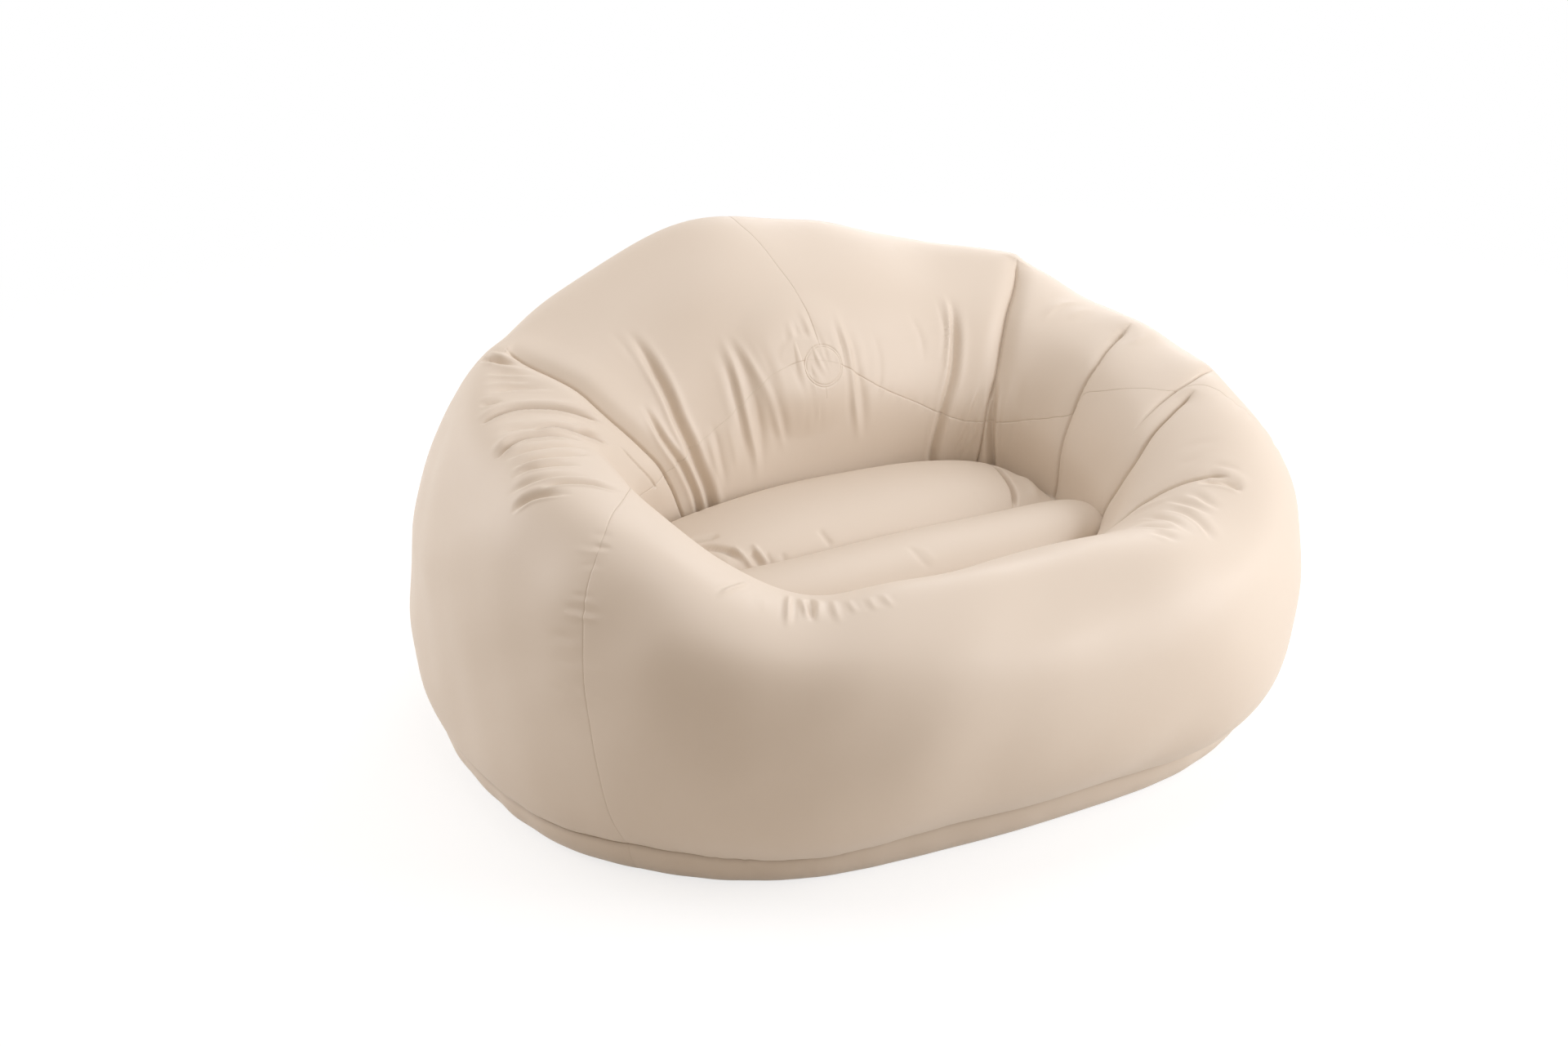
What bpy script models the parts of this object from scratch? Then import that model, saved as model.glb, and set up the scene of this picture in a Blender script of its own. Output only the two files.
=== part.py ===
"""Inflatable club armchair, built the way the real one is welded.

A ring-shaped air chamber (high back, sloping arms, low front rim) surrounds a seat of two
left-to-right tubes. The skin is cut from thin PVC panels that meet at welded seams, inner webs
hold the seat and the back corners in shape, a strap ties the backrest to the outer back, and a
screw-in valve with a flap and a tethered cap sits low on the back.

Units are metres, +Z is up, the front faces -Y, and the origin is the middle of the footprint
on the floor. Run with: blender --background --python part.py
"""
import math

import bmesh
import bpy
import numpy as np
from mathutils import Matrix, Vector

# Driving sizes of the inflated chair
chair_width = 1.37
chair_depth = 1.27
back_height = 0.74
arm_height = 0.555
rim_height = 0.43
base_seam_height = 0.05
seat_width = 0.70
seat_front_reach = 0.265
seat_back_reach = 0.145
seat_line_height = 0.31
tube_crown = 0.075
corner_crease_depth = 0.018
front_dip_depth = 0.045
corner_peak_height = 0.010

# Film and clearances
skin_wall = 0.0004
web_wall = 0.0004
seam_gap = 0.0003
fit_gap = 0.0003

# Inner webs and back tie
web_end_margin = 0.05
air_hole_radius = 0.03
seat_hole_shares = (-0.3, 0.0, 0.3)
corner_hole_shares = ((0.35, 0.25), (0.68, 0.45), (0.55, 0.8))
tie_disc_radius = 0.035
tie_disc_wall = 0.001
tie_strap_width = 0.05

# Valve on the lower back
valve_x = 0.20
valve_height = 0.25
valve_patch_margin = 0.005
flange_radius = 0.030
flange_thick = 0.0015
neck_radius = 0.020
neck_rise = 0.002
neck_depth = 0.014
socket_radius = 0.0165
seal_thick = 0.001
head_radius = 0.020
head_thick = 0.0015
skirt_radius = 0.0159
skirt_wall = 0.0017
skirt_depth = 0.012
nozzle_radius = 0.009
nozzle_wall = 0.0016
collar_radius = 0.012
collar_rise = 0.003
deck_depth = 0.002
grip_radius = 0.0018
strap_ring_wall = 0.003
strap_thick = 0.0012
strap_width = 0.006
strap_reach = 0.0192
cap_radius = 0.0135
cap_thick = 0.0015
plug_radius = 0.0085
plug_taper = 0.0005
plug_depth = 0.004
hinge_reach = 0.02075
hinge_leg_wall = 0.0015
flap_radius = 0.011
flap_thick = 0.0008
flap_hinge_reach = 0.0125
flap_tab_width = 0.006
cut_overrun = 0.01
merge_distance = 0.0001

# Counts
rear_steps = 18
side_steps = 14
outer_rows = 13
inner_rows = 5
round_steps = 32
hole_steps = 12
grip_count = 10
front_weld_steps = 2
rear_weld_steps = 1
seam_steps = 3
front_tube_steps = 7
bisection_steps = 50

# Angles round the ring, in degrees from +X towards the back
corner_angle = 29.6
front_dip_angle = 42.0
front_dip_spread = 16.0
front_corner_angle = -40.0
seat_corner_angle = 21.0
angle_reach = 60.0

# One row for each rail of the skin, from the base seam over the crest to the seat line:
# reach between the seat line and the belly (side, front, back), then height from the base seam
# or the seat line to the crest (front, arm, back)
rail_shares = (
    (0.961, 0.676, 0.735, 0.0, 0.0, 0.0),
    (0.997, 0.870, 0.924, 0.179, 0.108, 0.128),
    (1.0, 1.0, 1.0, 0.53, 0.508, 0.40),
    (0.896, 0.884, 0.751, 0.855, 0.853, 0.846),
    (0.657, 0.573, 0.480, 1.0, 1.0, 1.0),
    (0.313, 0.311, 0.214, 0.708, 0.898, 0.86),
    (0.075, 0.135, 0.020, 0.208, 0.449, 0.535),
    (0.0, 0.0, 0.0, -0.083, 0.0, 0.058),
)
first_inner_rail = 5
belly_rail = 2
rail_place_shares = (0.0, 0.10, 0.27, 0.45, 0.60, 0.72, 0.86, 1.0)
front_square_shares = (2.6, 2.5, 2.5, 2.55, 2.6, 2.8, 3.0, 3.0)
back_square_shares = (2.5, 2.5, 2.5, 2.35, 2.8, 2.7, 3.0, 4.0)
back_rise_share = 1.6
front_fall_share = 1.4
front_dip_shares = (0.0, 0.0, 0.0, 0.3, 1.0, 1.0, 0.4, 0.0)
seam_lean_shares = (-3.0, -3.0, 0.5, 1.8, 3.0, 5.0, 3.0, 0.0)
tube_end_power_share = 6
peak_sharpness_share = 4
corner_miter_share = 0.2

# Where the upper panels end, as (angle, share of the section) pairs
seam_angle_shares = (-27.0, -17.0, -10.5, -4.5, 6.0, 14.0, 20.0, 29.6, 40.0, 54.5, 90.0)
seam_place_shares = (0.66, 0.69, 0.75, 0.80, 0.86, 0.893, 0.905, 0.893, 0.873, 0.86, 0.85)

# The bottom panel's rolled edge: plan size and height, as shares of the base seam's
bottom_plan_shares = (1.0, 0.985, 0.955)
bottom_rise_shares = (1.0, 0.24, 0.0)

half_width = chair_width / 2
half_depth = chair_depth / 2
half_turn = 180.0

# Finishes: colour, then roughness
pvc_film = ((0.74, 0.62, 0.50, 1.0), 0.5)
web_film = ((0.66, 0.56, 0.46, 1.0), 0.6)
moulded_plastic = ((0.62, 0.52, 0.42, 1.0), 0.35)
strap_plastic = ((0.62, 0.52, 0.42, 1.0), 0.45)
soft_rubber = ((0.20, 0.19, 0.18, 1.0), 0.7)


def clear_scene():
    for item in list(bpy.data.objects):
        bpy.data.objects.remove(item, do_unlink=True)


def new_collection(name):
    group = bpy.data.collections.new(name)
    bpy.context.scene.collection.children.link(group)
    return group


def finish_material(name, finish):
    colour, roughness = finish
    material = bpy.data.materials.new(name)
    material.use_nodes = True
    shader = material.node_tree.nodes["Principled BSDF"]
    shader.inputs["Base Color"].default_value = colour
    shader.inputs["Roughness"].default_value = roughness
    shader.inputs["Metallic"].default_value = 0.0
    return material


def add_object(name, mesh, group, finish):
    item = bpy.data.objects.new(name, mesh)
    item.data.materials.append(finish_material(name + "_finish", finish))
    group.objects.link(item)
    return item


def add_solidify(item, thickness):
    shell = item.modifiers.new("wall", "SOLIDIFY")
    shell.thickness = thickness
    shell.offset = -1.0
    return shell


def add_boolean(item, cutter, operation):
    cut = item.modifiers.new(operation.lower(), "BOOLEAN")
    cut.operation = operation
    cut.solver = "EXACT"
    cut.object = cutter


def as_cutter(item, cutters):
    for group in list(item.users_collection):
        group.objects.unlink(item)
    cutters.objects.link(item)
    item.hide_render = True
    item.display_type = "WIRE"
    return item


def cylinder_mesh(name, radius, low, high, steps):
    """A closed cylinder along local Z from low to high."""
    bm = bmesh.new()
    bmesh.ops.create_cone(bm, cap_ends=True, segments=steps, radius1=radius, radius2=radius,
                          depth=high - low)
    bmesh.ops.translate(bm, verts=bm.verts, vec=(0.0, 0.0, (high + low) / 2))
    mesh = bpy.data.meshes.new(name)
    bm.to_mesh(mesh)
    bm.free()
    return mesh


def box_mesh(name, low, high):
    bm = bmesh.new()
    bmesh.ops.create_cube(bm, size=1.0)
    for vert in bm.verts:
        for axis in range(3):
            vert.co[axis] = high[axis] if vert.co[axis] > 0 else low[axis]
    mesh = bpy.data.meshes.new(name)
    bm.to_mesh(mesh)
    bm.free()
    return mesh


def turned(name, profile, group, finish):
    """A closed (radius, height) profile, listed down its outer side, turned about local Z."""
    mesh = bpy.data.meshes.new(name)
    count = len(profile)
    edges = [(i, (i + 1) % count) for i in range(count)]
    mesh.from_pydata([(r, 0.0, z) for r, z in profile], edges, [])
    item = add_object(name, mesh, group, finish)
    screw = item.modifiers.new("turn", "SCREW")
    screw.axis = "Z"
    screw.steps = round_steps
    screw.render_steps = round_steps
    screw.use_merge_vertices = True
    screw.merge_threshold = merge_distance
    screw.use_smooth_shade = False
    return item


def turned_disc(name, profile, group, finish):
    """An open profile that starts and ends on the axis, turned about local Z."""
    item = turned(name, profile, group, finish)
    mesh = bpy.data.meshes.new(name)
    edges = [(i, i + 1) for i in range(len(profile) - 1)]
    mesh.from_pydata([(r, 0.0, z) for r, z in profile], edges, [])
    mesh.materials.append(item.data.materials[0])
    item.data = mesh
    return item


# The ring skin

def rail_radius(rail, angle):
    """Superellipse reach of one rail at an angle in radians."""
    side, front, back = rail_shares[rail][:3]
    across = seat_width / 2 + side * (half_width - seat_width / 2)
    forward = seat_front_reach + front * (half_depth - seat_front_reach)
    backward = seat_back_reach + back * (half_depth - seat_back_reach)
    behind = np.sin(angle) > 0
    reach = np.where(behind, backward, forward)
    power = np.where(behind, back_square_shares[rail], front_square_shares[rail])
    return (np.abs(np.cos(angle) / across) ** power
            + np.abs(np.sin(angle) / reach) ** power) ** (-1.0 / power)


def rail_point(rail, angle):
    """Point of one rail at an angle in radians; heights ease from arm to back and to front."""
    front, arm, back = rail_shares[rail][3:]
    floor = seat_line_height if rail >= first_inner_rail else base_seam_height
    z_front = floor + front * (rim_height - floor)
    z_arm = floor + arm * (arm_height - floor)
    z_back = floor + back * (back_height - floor)
    radius = rail_radius(rail, angle)
    rise = np.clip(np.sin(angle), 0, 1) ** back_rise_share
    fall = np.clip(-np.sin(angle), 0, 1) ** front_fall_share
    from_front = np.abs((np.degrees(angle) + 1.5 * half_turn) % (2 * half_turn) - half_turn)
    dip = np.exp(-((from_front - front_dip_angle) / front_dip_spread) ** 2)
    z = (z_arm + (z_back - z_arm) * rise + (z_front - z_arm) * fall
         - dip * front_dip_depth * front_dip_shares[rail])
    return np.stack([radius * np.cos(angle), radius * np.sin(angle), z], axis=-1)


def corner_lean():
    """For each rail, the turn that puts the corner column in the upright mitre plane."""
    crest = len(rail_shares) - 4
    seat = len(rail_shares) - 1
    start = rail_point(seat, math.radians(seat_corner_angle))
    end = rail_point(crest, math.radians(corner_angle))
    along = (end - start)[:2]
    leans = []
    for rail in range(len(rail_shares)):
        low, high = 0.0, math.radians(2 * corner_angle)
        for _ in range(bisection_steps):
            middle = (low + high) / 2
            offset = rail_point(rail, middle)[:2] - start[:2]
            if along[0] * offset[1] - along[1] * offset[0] > 0:
                high = middle
            else:
                low = middle
        leans.append(math.degrees(low) - corner_angle)
    return leans


def rail_angles(columns):
    """Angle of every rail at every column, leaned at the mitres and the front corner seams."""
    leans = corner_lean()
    side_angle = seam_angle()
    turns = np.zeros((len(rail_shares), len(columns)))
    for rail in range(len(rail_shares)):
        for centre, amount in ((corner_angle, leans[rail]),
                               (side_angle, seam_lean_shares[rail])):
            for mirror in (1.0, -1.0):
                middle = centre if mirror > 0 else half_turn - centre
                away = (columns - middle + half_turn) % (2 * half_turn) - half_turn
                bump = np.where(np.abs(away) < angle_reach,
                                np.cos(np.pi / 2 * away / angle_reach) ** 2, 0.0)
                turns[rail] += mirror * amount * bump * column_fade(columns, middle)
    return np.radians(columns[None, :] + turns)


def column_fade(columns, middle):
    """One at a leaned column and zero at the other leaned column of the same side."""
    folded = middle if middle < half_turn / 2 else half_turn - middle
    other = seam_angle() + corner_angle - folded
    target = other if middle < half_turn / 2 else half_turn - other
    away = (columns - middle + half_turn) % (2 * half_turn) - half_turn
    gap = (target - middle + half_turn) % (2 * half_turn) - half_turn
    return np.clip(1.0 - away / gap, 0.0, 1.0)


def side_columns():
    return np.linspace(front_corner_angle, corner_angle, side_steps + 1)


def seam_angle():
    return float(side_columns()[seam_steps])


def ring_columns():
    """Column angles once round: right side, rear, left side, front."""
    right = side_columns()
    rear = np.linspace(corner_angle, half_turn - corner_angle, rear_steps + 1)
    left = (half_turn - right)[::-1]
    front = np.linspace(half_turn - front_corner_angle, 2 * half_turn + front_corner_angle,
                        rear_steps + 1)
    return np.concatenate([right[:-1], rear[:-1], left[:-1], front[:-1]])


def section_shares(columns):
    """Row places along the section for every column; one row follows the panel seam."""
    folded = np.where(np.cos(np.radians(columns)) < 0, half_turn - columns, columns)
    folded = (folded + half_turn) % (2 * half_turn) - half_turn
    seam = np.interp(folded, seam_angle_shares, seam_place_shares)
    lower = np.linspace(0, 1, outer_rows + 1)[:, None] * seam[None, :]
    upper = seam[None, :] + np.linspace(0, 1, inner_rows + 1)[1:, None] * (1 - seam[None, :])
    return np.concatenate([lower, upper])


def hermite_sections(rails, shares):
    """Smooth curve through the rails of each column, read at the given shares."""
    places = np.array(rail_place_shares)
    steps = np.diff(places)
    slopes = np.diff(rails, axis=0) / steps[:, None, None]
    tangents = np.empty_like(rails)
    tangents[0], tangents[-1] = slopes[0], slopes[-1]
    before, after = steps[:-1, None, None], steps[1:, None, None]
    tangents[1:-1] = (slopes[:-1] * after + slopes[1:] * before) / (before + after)
    tangents[belly_rail, :, :2] = 0.0
    index = np.clip(np.searchsorted(places, shares, side="right") - 1, 0, len(places) - 2)
    span = steps[index][..., None]
    t = ((shares - places[index])[..., None]) / span
    column = np.arange(rails.shape[1])[None, :]
    p0, p1 = rails[index, column], rails[index + 1, column]
    m0, m1 = tangents[index, column], tangents[index + 1, column]
    return ((2 * t**3 - 3 * t**2 + 1) * p0 + (t**3 - 2 * t**2 + t) * span * m0
            + (3 * t**2 - 2 * t**3) * p1 + (t**3 - t**2) * span * m1)


def ring_skin():
    """Skin points by row (base seam to seat line) and column (once round), with the corner
    creases, the flat welds of the back tie and the flat valve patch pressed in.

    Returns the grid, the (centre, upward) pairs of the two tie welds and the valve's centre."""
    columns = ring_columns()
    angles = rail_angles(columns)
    rails = np.stack([rail_point(k, angles[k]) for k in range(len(rail_shares))])
    shares = section_shares(columns)
    grid = hermite_sections(rails, shares)
    crease_corners(grid, shares)
    grid[..., 1] -= (grid[..., 1].max() + grid[..., 1].min()) / 2
    valve = press_valve_patch(grid)
    front = press_square(grid, outer_rows, front_weld_steps)
    rear = press_square(grid, back_row(grid, front[0][2]), rear_weld_steps)
    return grid, (front, rear), valve


def corner_columns():
    return side_steps, side_steps + rear_steps


def crease_corners(grid, shares):
    """Pull the skin in along the two mitres and let it peak at the crest."""
    crest_share = rail_place_shares[first_inner_rail - 1]
    for column in corner_columns():
        section = grid[:, column]
        along = np.gradient(section, axis=0)
        along /= np.linalg.norm(along, axis=1, keepdims=True)
        outward = section[0, :2] - section[-1, :2]
        outward = np.append(outward / np.linalg.norm(outward), 0.0)
        upright = np.array([0.0, 0.0, 1.0])
        normal = (along @ outward)[:, None] * -upright + (along @ upright)[:, None] * outward
        share = shares[:, column]
        inside = np.clip((share - crest_share) / (1 - crest_share), 0, 1)
        groove = np.sin(np.pi * np.sqrt(inside)) * corner_crease_depth
        width = 1 - crest_share
        rise = np.exp(-((share - crest_share) / width * peak_sharpness_share) ** 2)
        peak = rise * corner_peak_height
        section += normal * (peak - groove)[:, None]


def centre_column():
    return side_steps + rear_steps // 2


def back_row(grid, height):
    """Row of the outer back, at the centre column, that is nearest to a height."""
    heights = grid[:, centre_column(), 2]
    crest = int(np.argmax(heights))
    return int(np.argmin(np.abs(heights[:crest] - height)))


def press_square(grid, row, reach):
    """Flatten a square of the skin round the centre column, for one weld of the back tie."""
    column = centre_column()
    half = tie_disc_radius + fit_gap
    centre = grid[row, column].copy()
    along = grid[row + 1, column] - grid[row - 1, column]
    along /= np.linalg.norm(along)
    for i in (-1, 0, 1):
        for j in range(-reach, reach + 1):
            grid[row + i, column + j] = centre + along * i * half
            grid[row + i, column + j, 0] = -half * j / reach
    return centre, along * np.sign(along[2])


def press_valve_patch(grid):
    """Turn the cell nearest the valve into a flat upright square that faces straight back."""
    centres = (grid[:-1, :-1] + grid[1:, 1:] + grid[:-1, 1:] + grid[1:, :-1]) / 4
    away = np.hypot(centres[..., 0] - valve_x, centres[..., 2] - valve_height)
    away[centres[..., 1] < half_depth / 2] = chair_width
    row, column = np.unravel_index(int(np.argmin(away)), away.shape)
    cell = grid[row:row + 2, column:column + 2]
    y = cell[..., 1].mean()
    half = flange_radius + valve_patch_margin
    for i in range(2):
        for j in range(2):
            cell[i, j] = (valve_x + (half if j == 0 else -half), y,
                          valve_height + (half if i == 1 else -half))
    return valve_x, float(y), valve_height


# Panels cut from the ring skin

def block_mesh(name, points, faces):
    """Mesh of the used points, with its free edges drawn back by half the seam gap."""
    bm = bmesh.new()
    used = {}
    for face in faces:
        for index in face:
            if index not in used:
                used[index] = bm.verts.new(points[index])
    for face in faces:
        bm.faces.new([used[index] for index in face])
    draw_back_edges(bm, seam_gap / 2)
    mesh = bpy.data.meshes.new(name)
    bm.to_mesh(mesh)
    bm.free()
    mesh.shade_smooth()
    return mesh


def draw_back_edges(bm, amount):
    moves = {}
    for edge in bm.edges:
        if len(edge.link_faces) != 1:
            continue
        along = (edge.verts[1].co - edge.verts[0].co).normalized()
        inward = edge.link_faces[0].calc_center_median() - edge.verts[0].co
        inward -= along * inward.dot(along)
        inward.normalize()
        for vert in edge.verts:
            moves.setdefault(vert, []).append(inward)
    for vert, sides in moves.items():
        if len(sides) == 2:
            spread = max(1.0 + sides[0].dot(sides[1]), corner_miter_share)
            vert.co += (sides[0] + sides[1]) * (amount / spread)
        else:
            vert.co += sides[0] * amount


def ring_faces(columns, rows, count):
    """Quads of a run of columns and rows of the ring, wound to face outward."""
    faces = []
    for column in columns:
        after = (column + 1) % count
        for row in rows:
            faces.append((row * count + column, row * count + after,
                          (row + 1) * count + after, (row + 1) * count + column))
    return faces


def panel_layout(count):
    """Which cells of the ring belong to which panel."""
    right_seam = seam_steps
    left_seam = 2 * side_steps + rear_steps - seam_steps
    right_corner, left_corner = corner_columns()
    centre = centre_column()
    outer = range(outer_rows)
    inner = range(outer_rows, outer_rows + inner_rows)
    every = range(outer_rows + inner_rows)
    front = list(range(left_seam, count)) + list(range(right_seam))
    arms = list(range(right_seam, right_corner)) + list(range(left_corner, left_seam))
    return {
        "right_side_panel": ring_faces(range(right_seam, centre), outer, count),
        "left_side_panel": ring_faces(range(centre, left_seam), outer, count),
        "backrest_panel": ring_faces(range(right_corner, left_corner), inner, count),
        "front_panel": ring_faces(front, every, count) + ring_faces(arms, inner, count),
    }


def build_skin(grid, valve, group, cutters):
    count = grid.shape[1]
    points = grid.reshape(-1, 3)
    panels = {}
    for name, faces in panel_layout(count).items():
        mesh = block_mesh(name, points, faces)
        panels[name] = add_object(name, mesh, group, pvc_film)
        add_solidify(panels[name], skin_wall)
    opening = bpy.data.objects.new("valve_opening_cutter", cylinder_mesh(
        "valve_opening_cutter", neck_radius + fit_gap, -cut_overrun, cut_overrun, round_steps))
    opening.matrix_world = valve_matrix(valve)
    as_cutter(opening, cutters)
    side = "right_side_panel" if valve_x > 0 else "left_side_panel"
    add_boolean(panels[side], opening, "DIFFERENCE")


def build_bottom(grid, group):
    """Flat floor sheet with an edge that rolls up to the base seam."""
    seam = grid[0]
    count = len(seam)
    rows = [np.column_stack([seam[:, :2] * plan, seam[:, 2] * rise])
            for plan, rise in zip(bottom_plan_shares, bottom_rise_shares)]
    points = np.concatenate(rows)
    faces = []
    for row in range(len(rows) - 1):
        for column in range(count):
            after = (column + 1) % count
            faces.append((row * count + column, (row + 1) * count + column,
                          (row + 1) * count + after, row * count + after))
    last = (len(rows) - 1) * count
    faces.append(tuple(last + column for column in range(count))[::-1])
    mesh = block_mesh("bottom_panel", points, faces)
    item = add_object("bottom_panel", mesh, group, pvc_film)
    add_solidify(item, skin_wall)


def seat_edges(grid):
    """The seat line split into its right, rear, left and front runs, each from corner to corner."""
    line = grid[-1]
    first, second = corner_columns()
    third = second + side_steps
    right = line[:first + 1]
    rear = line[first:second + 1]
    left = line[second:third + 1]
    front = np.concatenate([line[third:], line[:1]])
    return right, rear[::-1], left[::-1], front


def seat_grid(grid):
    """Patch between the four runs of the seat line, raised into two tubes."""
    right, rear, left, front = seat_edges(grid)
    u = np.linspace(0, 1, len(rear))[None, :, None]
    v = np.linspace(0, 1, len(right))[:, None, None]
    sides = (1 - u) * left[:, None] + u * right[:, None]
    ends = (1 - v) * front[None, :] + v * rear[None, :]
    corners = ((1 - u) * (1 - v) * left[0] + u * (1 - v) * right[0]
               + (1 - u) * v * left[-1] + u * v * right[-1])
    patch = sides + ends - corners
    rows = np.arange(len(right))
    place = np.where(rows <= front_tube_steps, rows / front_tube_steps,
                     (rows - front_tube_steps) / (rows[-1] - front_tube_steps))
    across = np.abs(2 * u[0, :, 0] - 1)
    crown = np.sqrt(np.clip(1 - (2 * place - 1) ** 2, 0, 1))
    dome = np.sqrt(np.clip(1 - across ** tube_end_power_share, 0, 1))
    patch[..., 2] += tube_crown * crown[:, None] * dome[None, :]
    return patch


def build_seat(grid, group):
    patch = seat_grid(grid)
    rows, columns = patch.shape[:2]
    faces = []
    for row in range(rows - 1):
        for column in range(columns - 1):
            start = row * columns + column
            faces.append((start, start + 1, start + columns + 1, start + columns))
    mesh = block_mesh("seat_panel", patch.reshape(-1, 3), faces)
    item = add_object("seat_panel", mesh, group, pvc_film)
    add_solidify(item, skin_wall)


# Inner webs

def hole_row_cutter(name, places, along, depth, cutters):
    """Cylinders at the given places, each through a web along the given direction."""
    bm = bmesh.new()
    turn = Vector((0.0, 0.0, 1.0)).rotation_difference(Vector(along)).to_matrix().to_4x4()
    for place in places:
        bmesh.ops.create_cone(bm, cap_ends=True, segments=hole_steps, radius1=air_hole_radius,
                              radius2=air_hole_radius, depth=depth,
                              matrix=Matrix.Translation(Vector(place)) @ turn)
    mesh = bpy.data.meshes.new(name)
    bm.to_mesh(mesh)
    bm.free()
    return as_cutter(link_plain(name, mesh, cutters), cutters)


def link_plain(name, mesh, group):
    item = bpy.data.objects.new(name, mesh)
    group.objects.link(item)
    return item


def build_seat_webs(grid, group, cutters):
    """Three upright strips under the seat: at its rear edge, its middle crease and its front."""
    patch = seat_grid(grid)
    rows = {"seat_web_front": 0, "seat_web_middle": front_tube_steps,
            "seat_web_rear": patch.shape[0] - 1}
    for name, row in rows.items():
        line = patch[row]
        keep = np.abs(line[:, 0]) < np.abs(line[:, 0]).max() - web_end_margin
        top = line[keep].copy()
        top[:, 2] -= skin_wall + 2 * fit_gap
        foot = top.copy()
        foot[:, 2] = skin_wall + fit_gap
        count = len(top)
        points = np.concatenate([foot, top])
        faces = [(i, i + 1, count + i + 1, count + i) for i in range(count - 1)]
        mesh = block_mesh(name, points, faces)
        item = add_object(name, mesh, group, web_film)
        add_solidify(item, web_wall).offset = 0.0
        height = float(top[:, 2].mean()) / 2
        run = float(top[-1, 0] - top[0, 0])
        places = [(share * run, float(line[:, 1].mean()), height) for share in seat_hole_shares]
        cutter = hole_row_cutter(name + "_holes", places, (0.0, 1.0, 0.0), 2 * tube_crown, cutters)
        add_boolean(item, cutter, "DIFFERENCE")


def web_outline(grid, column):
    """Corner web outline in its own plane: (distance from the seat corner, height)."""
    section = grid[:, column]
    start = section[-1, :2]
    outward = section[0, :2] - start
    outward = outward / np.linalg.norm(outward)
    across = (section[:, :2] - start) @ outward
    flat = np.column_stack([across, section[:, 2]])
    along = np.gradient(flat, axis=0)
    along /= np.linalg.norm(along, axis=1, keepdims=True)
    inset = skin_wall + 2 * fit_gap
    inward = np.column_stack([-along[:, 1], along[:, 0]])
    inner = flat + inward * inset
    foot = skin_wall + fit_gap
    plan = grid[0, column, :2]
    edge = [((plan * share - start) @ outward - inset, max(base_seam_height * rise, foot))
            for share, rise in zip(bottom_plan_shares[1:], bottom_rise_shares[1:])]
    points = [(float(x), float(z)) for x, z in edge[::-1]]
    points += [(float(x), float(z)) for x, z in inner]
    points.append((float(inner[-1, 0]), foot))
    return points, start, outward


def build_corner_webs(grid, group):
    """Flat bulkheads in the two mitre planes, with round air holes."""
    for name, column in zip(("corner_web_right", "corner_web_left"), corner_columns()):
        points, start, outward = web_outline(grid, column)
        curve = bpy.data.curves.new(name, "CURVE")
        curve.dimensions = "2D"
        curve.fill_mode = "BOTH"
        curve.extrude = web_wall / 2
        add_poly(curve, points)
        reach = max(x for x, _ in points)
        for share_x, share_z in corner_hole_shares:
            centre = (reach * share_x, arm_height * share_z)
            add_poly(curve, [(centre[0] + air_hole_radius * math.cos(2 * math.pi * k / hole_steps),
                              centre[1] + air_hole_radius * math.sin(2 * math.pi * k / hole_steps))
                             for k in range(hole_steps)])
        item = bpy.data.objects.new(name, curve)
        curve.materials.append(finish_material(name + "_finish", web_film))
        group.objects.link(item)
        direction = Vector((outward[0], outward[1], 0.0))
        up = Vector((0.0, 0.0, 1.0))
        turn = Matrix((direction, up, direction.cross(up))).transposed().to_4x4()
        item.matrix_world = Matrix.Translation((start[0], start[1], 0.0)) @ turn


def add_poly(curve, points):
    spline = curve.splines.new("POLY")
    spline.points.add(len(points) - 1)
    for point, (x, y) in zip(spline.points, points):
        point.co = (x, y, 0.0, 1.0)
    spline.use_cyclic_u = True


# Back tie

def build_back_tie(ties, group):
    """Two round weld discs behind the skin and the strap that joins them."""
    side = Vector((1.0, 0.0, 0.0))
    ends = []
    for name, (centre, upward), turn in zip(("tie_disc_front", "tie_disc_rear"), ties, (1, -1)):
        up = Vector(upward)
        inward = up.cross(side) * turn
        place = Vector(centre) + inward * (skin_wall + fit_gap)
        mesh = cylinder_mesh(name, tie_disc_radius, 0.0, tie_disc_wall, round_steps)
        disc = add_object(name, mesh, group, web_film)
        across = up.cross(inward)
        basis = Matrix((across, up, across.cross(up))).transposed().to_4x4()
        disc.matrix_world = Matrix.Translation(place) @ basis
        ends.append(place + inward * (tie_disc_wall + fit_gap))
    run = ends[1] - ends[0]
    low = (-tie_strap_width / 2, fit_gap / 2, -web_wall / 2)
    high = (tie_strap_width / 2, run.length - fit_gap / 2, web_wall / 2)
    strap = add_object("tie_strap", box_mesh("tie_strap", low, high), group, web_film)
    ahead = run.normalized()
    basis = Matrix((side, ahead, side.cross(ahead))).transposed().to_4x4()
    strap.matrix_world = Matrix.Translation(ends[0]) @ basis


# Valve, in a frame whose +Z points straight back out of the skin and whose +Y is up

def valve_matrix(valve):
    turn = Matrix(((-1.0, 0.0, 0.0), (0.0, 0.0, 1.0), (0.0, 1.0, 0.0))).to_4x4()
    return Matrix.Translation(valve) @ turn


seal_low = neck_rise + fit_gap
head_low = seal_low + seal_thick + fit_gap
head_top = head_low + head_thick
collar_top = head_top + collar_rise
strap_low = head_top + fit_gap
strap_top = strap_low + strap_thick
cap_low = collar_top + fit_gap
cap_top = cap_low + cap_thick
hinge_height = (strap_low + strap_top) / 2
flap_top = -skirt_depth - fit_gap


def empty_at(name, group, parent, place):
    item = bpy.data.objects.new(name, None)
    group.objects.link(item)
    item.parent = parent
    item.location = place
    return item


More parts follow.
